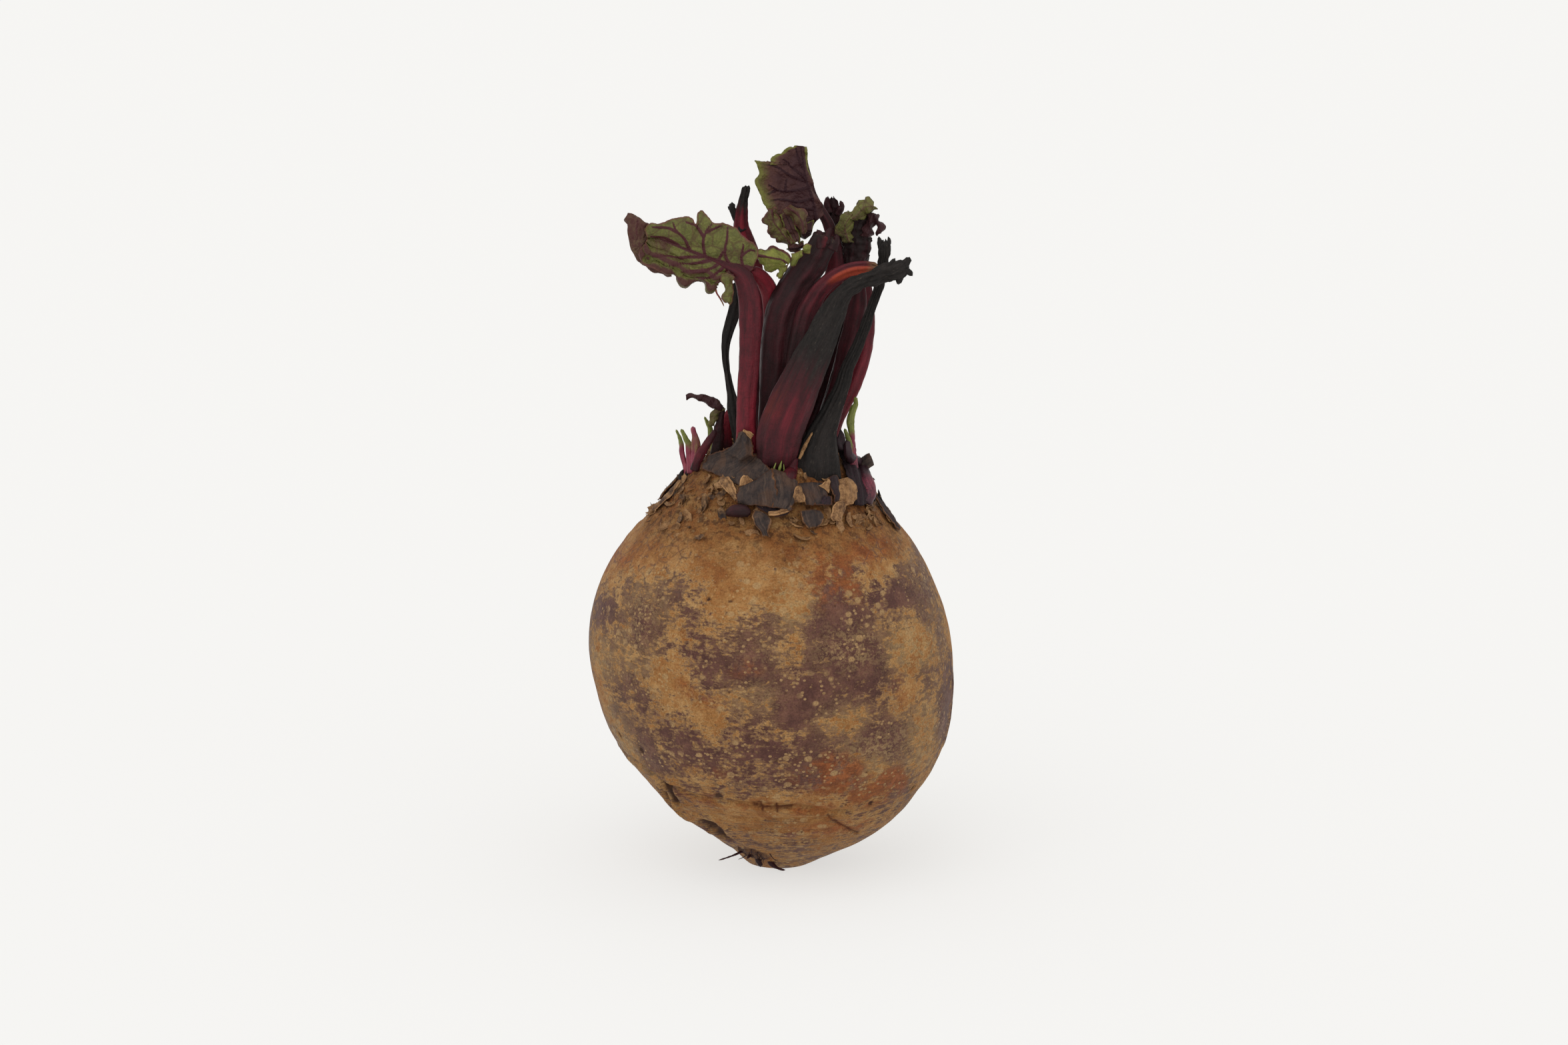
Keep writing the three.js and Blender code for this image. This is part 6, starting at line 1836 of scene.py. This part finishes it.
# %% [markdown]
# ## What is scattered over the skin
# Loose flakes of cork lie all over the crown, and hair-fine roots stand round the tail and on
# one shoulder. They are small, many and all alike, which is the work of Geometry Nodes: one
# tree scatters copies of a small piece over the root's skin, thickest where a mark is high.
# The same tree serves both, with other inputs. It is given a copy of the skin, and what it
# makes is turned into a plain mesh, because an export drops instances and modifiers.

# %% The scatter tree
SQUARE_CM_PER_METRE = 10000.0   # in a square metre


def scatter_tree():
    """Copies of a piece over a skin, leaning at random, thickest where a mark is high."""
    tree = bpy.data.node_groups.new("Scatter over skin", "GeometryNodeTree")
    tree.interface.new_socket("Skin", in_out="INPUT", socket_type="NodeSocketGeometry")
    for label, kind, value in (
            ("Piece", "Object", None), ("Where", "String", "crown"),
            ("Pieces per square cm", "Float", 5.0),
            ("Least size", "Float", 0.6), ("Greatest size", "Float", 1.3),
            ("Greatest tilt", "Float", 0.5),
            ("Turn", "Float", math.pi), ("Seed", "Int", 1), ("Finish", "Material", None)):
        socket = tree.interface.new_socket(label, in_out="INPUT", socket_type="NodeSocket" + kind)
        if value is not None:
            socket.default_value = value
    tree.interface.new_socket("Pieces", in_out="OUTPUT", socket_type="NodeSocketGeometry")

    def node(kind, inputs=None, **settings):
        made = tree.nodes.new(kind)
        for key, value in settings.items():
            setattr(made, key, value)
        for key, value in (inputs or {}).items():
            if isinstance(value, bpy.types.NodeSocket):
                tree.links.new(value, made.inputs[key])
            else:
                made.inputs[key].default_value = value
        return made

    def product(first, second):
        return node("ShaderNodeMath", {0: first, 1: second}, operation="MULTIPLY").outputs[0]

    given = tree.nodes.new("NodeGroupInput").outputs
    tilt, turn, seed = given["Greatest tilt"], given["Turn"], given["Seed"]
    mark = node("GeometryNodeInputNamedAttribute", {"Name": given["Where"]},
        data_type="FLOAT").outputs["Attribute"]
    density = product(mark, product(given["Pieces per square cm"], SQUARE_CM_PER_METRE))
    spread = node("GeometryNodeDistributePointsOnFaces",
        {"Mesh": given["Skin"], "Density": density, "Seed": seed})
    least_tilt, least_turn = product(tilt, -1.0), product(turn, -1.0)
    least = node("ShaderNodeCombineXYZ", {0: least_tilt, 1: least_tilt, 2: least_turn}).outputs[0]
    most = node("ShaderNodeCombineXYZ", {0: tilt, 1: tilt, 2: turn}).outputs[0]
    lean = node("FunctionNodeRandomValue", {0: least, 1: most, "Seed": seed},
        data_type="FLOAT_VECTOR")
    lean = node("FunctionNodeEulerToRotation", {0: lean.outputs[0]}).outputs[0]
    turned = node("FunctionNodeRotateRotation", {0: spread.outputs["Rotation"], 1: lean},
        rotation_space="LOCAL")
    size = node("FunctionNodeRandomValue",
        {2: given["Least size"], 3: given["Greatest size"], "Seed": seed},
        data_type="FLOAT").outputs[1]
    piece = node("GeometryNodeObjectInfo", {"Object": given["Piece"]}).outputs["Geometry"]
    placed = node("GeometryNodeInstanceOnPoints",
        {"Points": spread.outputs["Points"], "Instance": piece,
            "Rotation": turned.outputs[0], "Scale": size}).outputs[0]
    for label, least, most, own_seed in (("pale", 0.35, 1.1, 7), ("dark", -0.7, 0.1, 8)):
        value = node("FunctionNodeRandomValue", {2: least, 3: most, "Seed": own_seed},
            data_type="FLOAT").outputs[1]
        placed = node("GeometryNodeStoreNamedAttribute",
            {"Geometry": placed, "Name": label, "Value": value},
            data_type="FLOAT", domain="INSTANCE").outputs[0]
    real = node("GeometryNodeRealizeInstances", {"Geometry": placed}).outputs[0]
    coloured = node("GeometryNodeSetMaterial",
        {"Geometry": real, "Material": given["Finish"]}).outputs[0]
    tree.links.new(coloured, node("NodeGroupOutput").inputs["Pieces"])
    return tree


SCATTER = scatter_tree()
print(f"scatter tree: {len(SCATTER.nodes)} nodes")

# %% One flake and one hair
def little_sheet(name, long, wide, bend, rows=5, columns=4, thickness=0.16):
    """A small curled sheet that lies in its own X-Y plane, with ragged sides."""
    along_it, across_it = np.meshgrid(np.linspace(-1, 1, rows), np.linspace(-1, 1, columns),
        indexing="ij")
    taper = 1 - 0.45 * along_it ** 2 + 0.12 * np.sin(5 * along_it + 2)
    grid = np.stack([across_it * wide / 2 * taper, along_it * long / 2 + 0.12 * across_it,
        bend * (along_it ** 2 + 0.6 * across_it ** 2) + 0.15], -1)
    points, faces = thickened(grid, thickness)
    return make_piece(name, points, faces, PAPERY,
        {"rim": np.tile(np.abs(along_it).ravel() * 0.5, 2),
            "own": points})


flake = little_sheet("flake_pattern", 2.1, 1.1, 0.28)
hair = plain_strand("hair_pattern", STALK_SKIN,
    [(0, 0, -0.4), (0.15, 0.1, 0.7), (0.1, 0.35, 1.5), (-0.25, 0.5, 2.4)],
    [0.12, 0.09, 0.06], columns=5, step=0.55, lump=0.0, ragged_end=0.0, tone=[0.9], torn=[0.1])

# %% Scatter them and keep plain meshes
def scattered(name, settings):
    """Runs the tree on a copy of the root's skin and returns a plain piece."""
    carrier = bpy.data.objects.new(name + "_carrier", root_skin.data.copy())
    bpy.context.scene.collection.objects.link(carrier)
    modifier = carrier.modifiers.new("Scatter", "NODES")
    modifier.node_group = SCATTER
    for socket in SCATTER.interface.items_tree:
        if socket.in_out == "INPUT" and socket.name in settings:
            modifier[socket.identifier] = settings[socket.name]
    graph = bpy.context.evaluated_depsgraph_get()
    mesh = bpy.data.meshes.new_from_object(carrier.evaluated_get(graph))
    carrier.modifiers.remove(modifier)
    bpy.data.objects.remove(carrier)
    piece = bpy.data.objects.new(name, mesh)
    bpy.context.scene.collection.objects.link(piece)
    print(f"{name}: {len(mesh.polygons)} faces")
    return piece


crown_flakes = scattered("crown_flakes", {
    "Piece": flake, "Where": "flaky", "Pieces per square cm": 26.0, "Least size": 0.45,
    "Greatest size": 1.9,
    "Greatest tilt": 0.7, "Seed": 4, "Finish": PAPERY})
fine_roots = scattered("fine_roots", {
    "Piece": hair, "Where": "hairy", "Pieces per square cm": 14.0, "Least size": 0.5,
    "Greatest size": 1.25,
    "Greatest tilt": 0.8, "Seed": 9, "Finish": STALK_SKIN})
for pattern in (flake, hair):
    bpy.data.objects.remove(pattern)
settle(crown_flakes, "pale_scale")
settle(fine_roots, "rootlet")
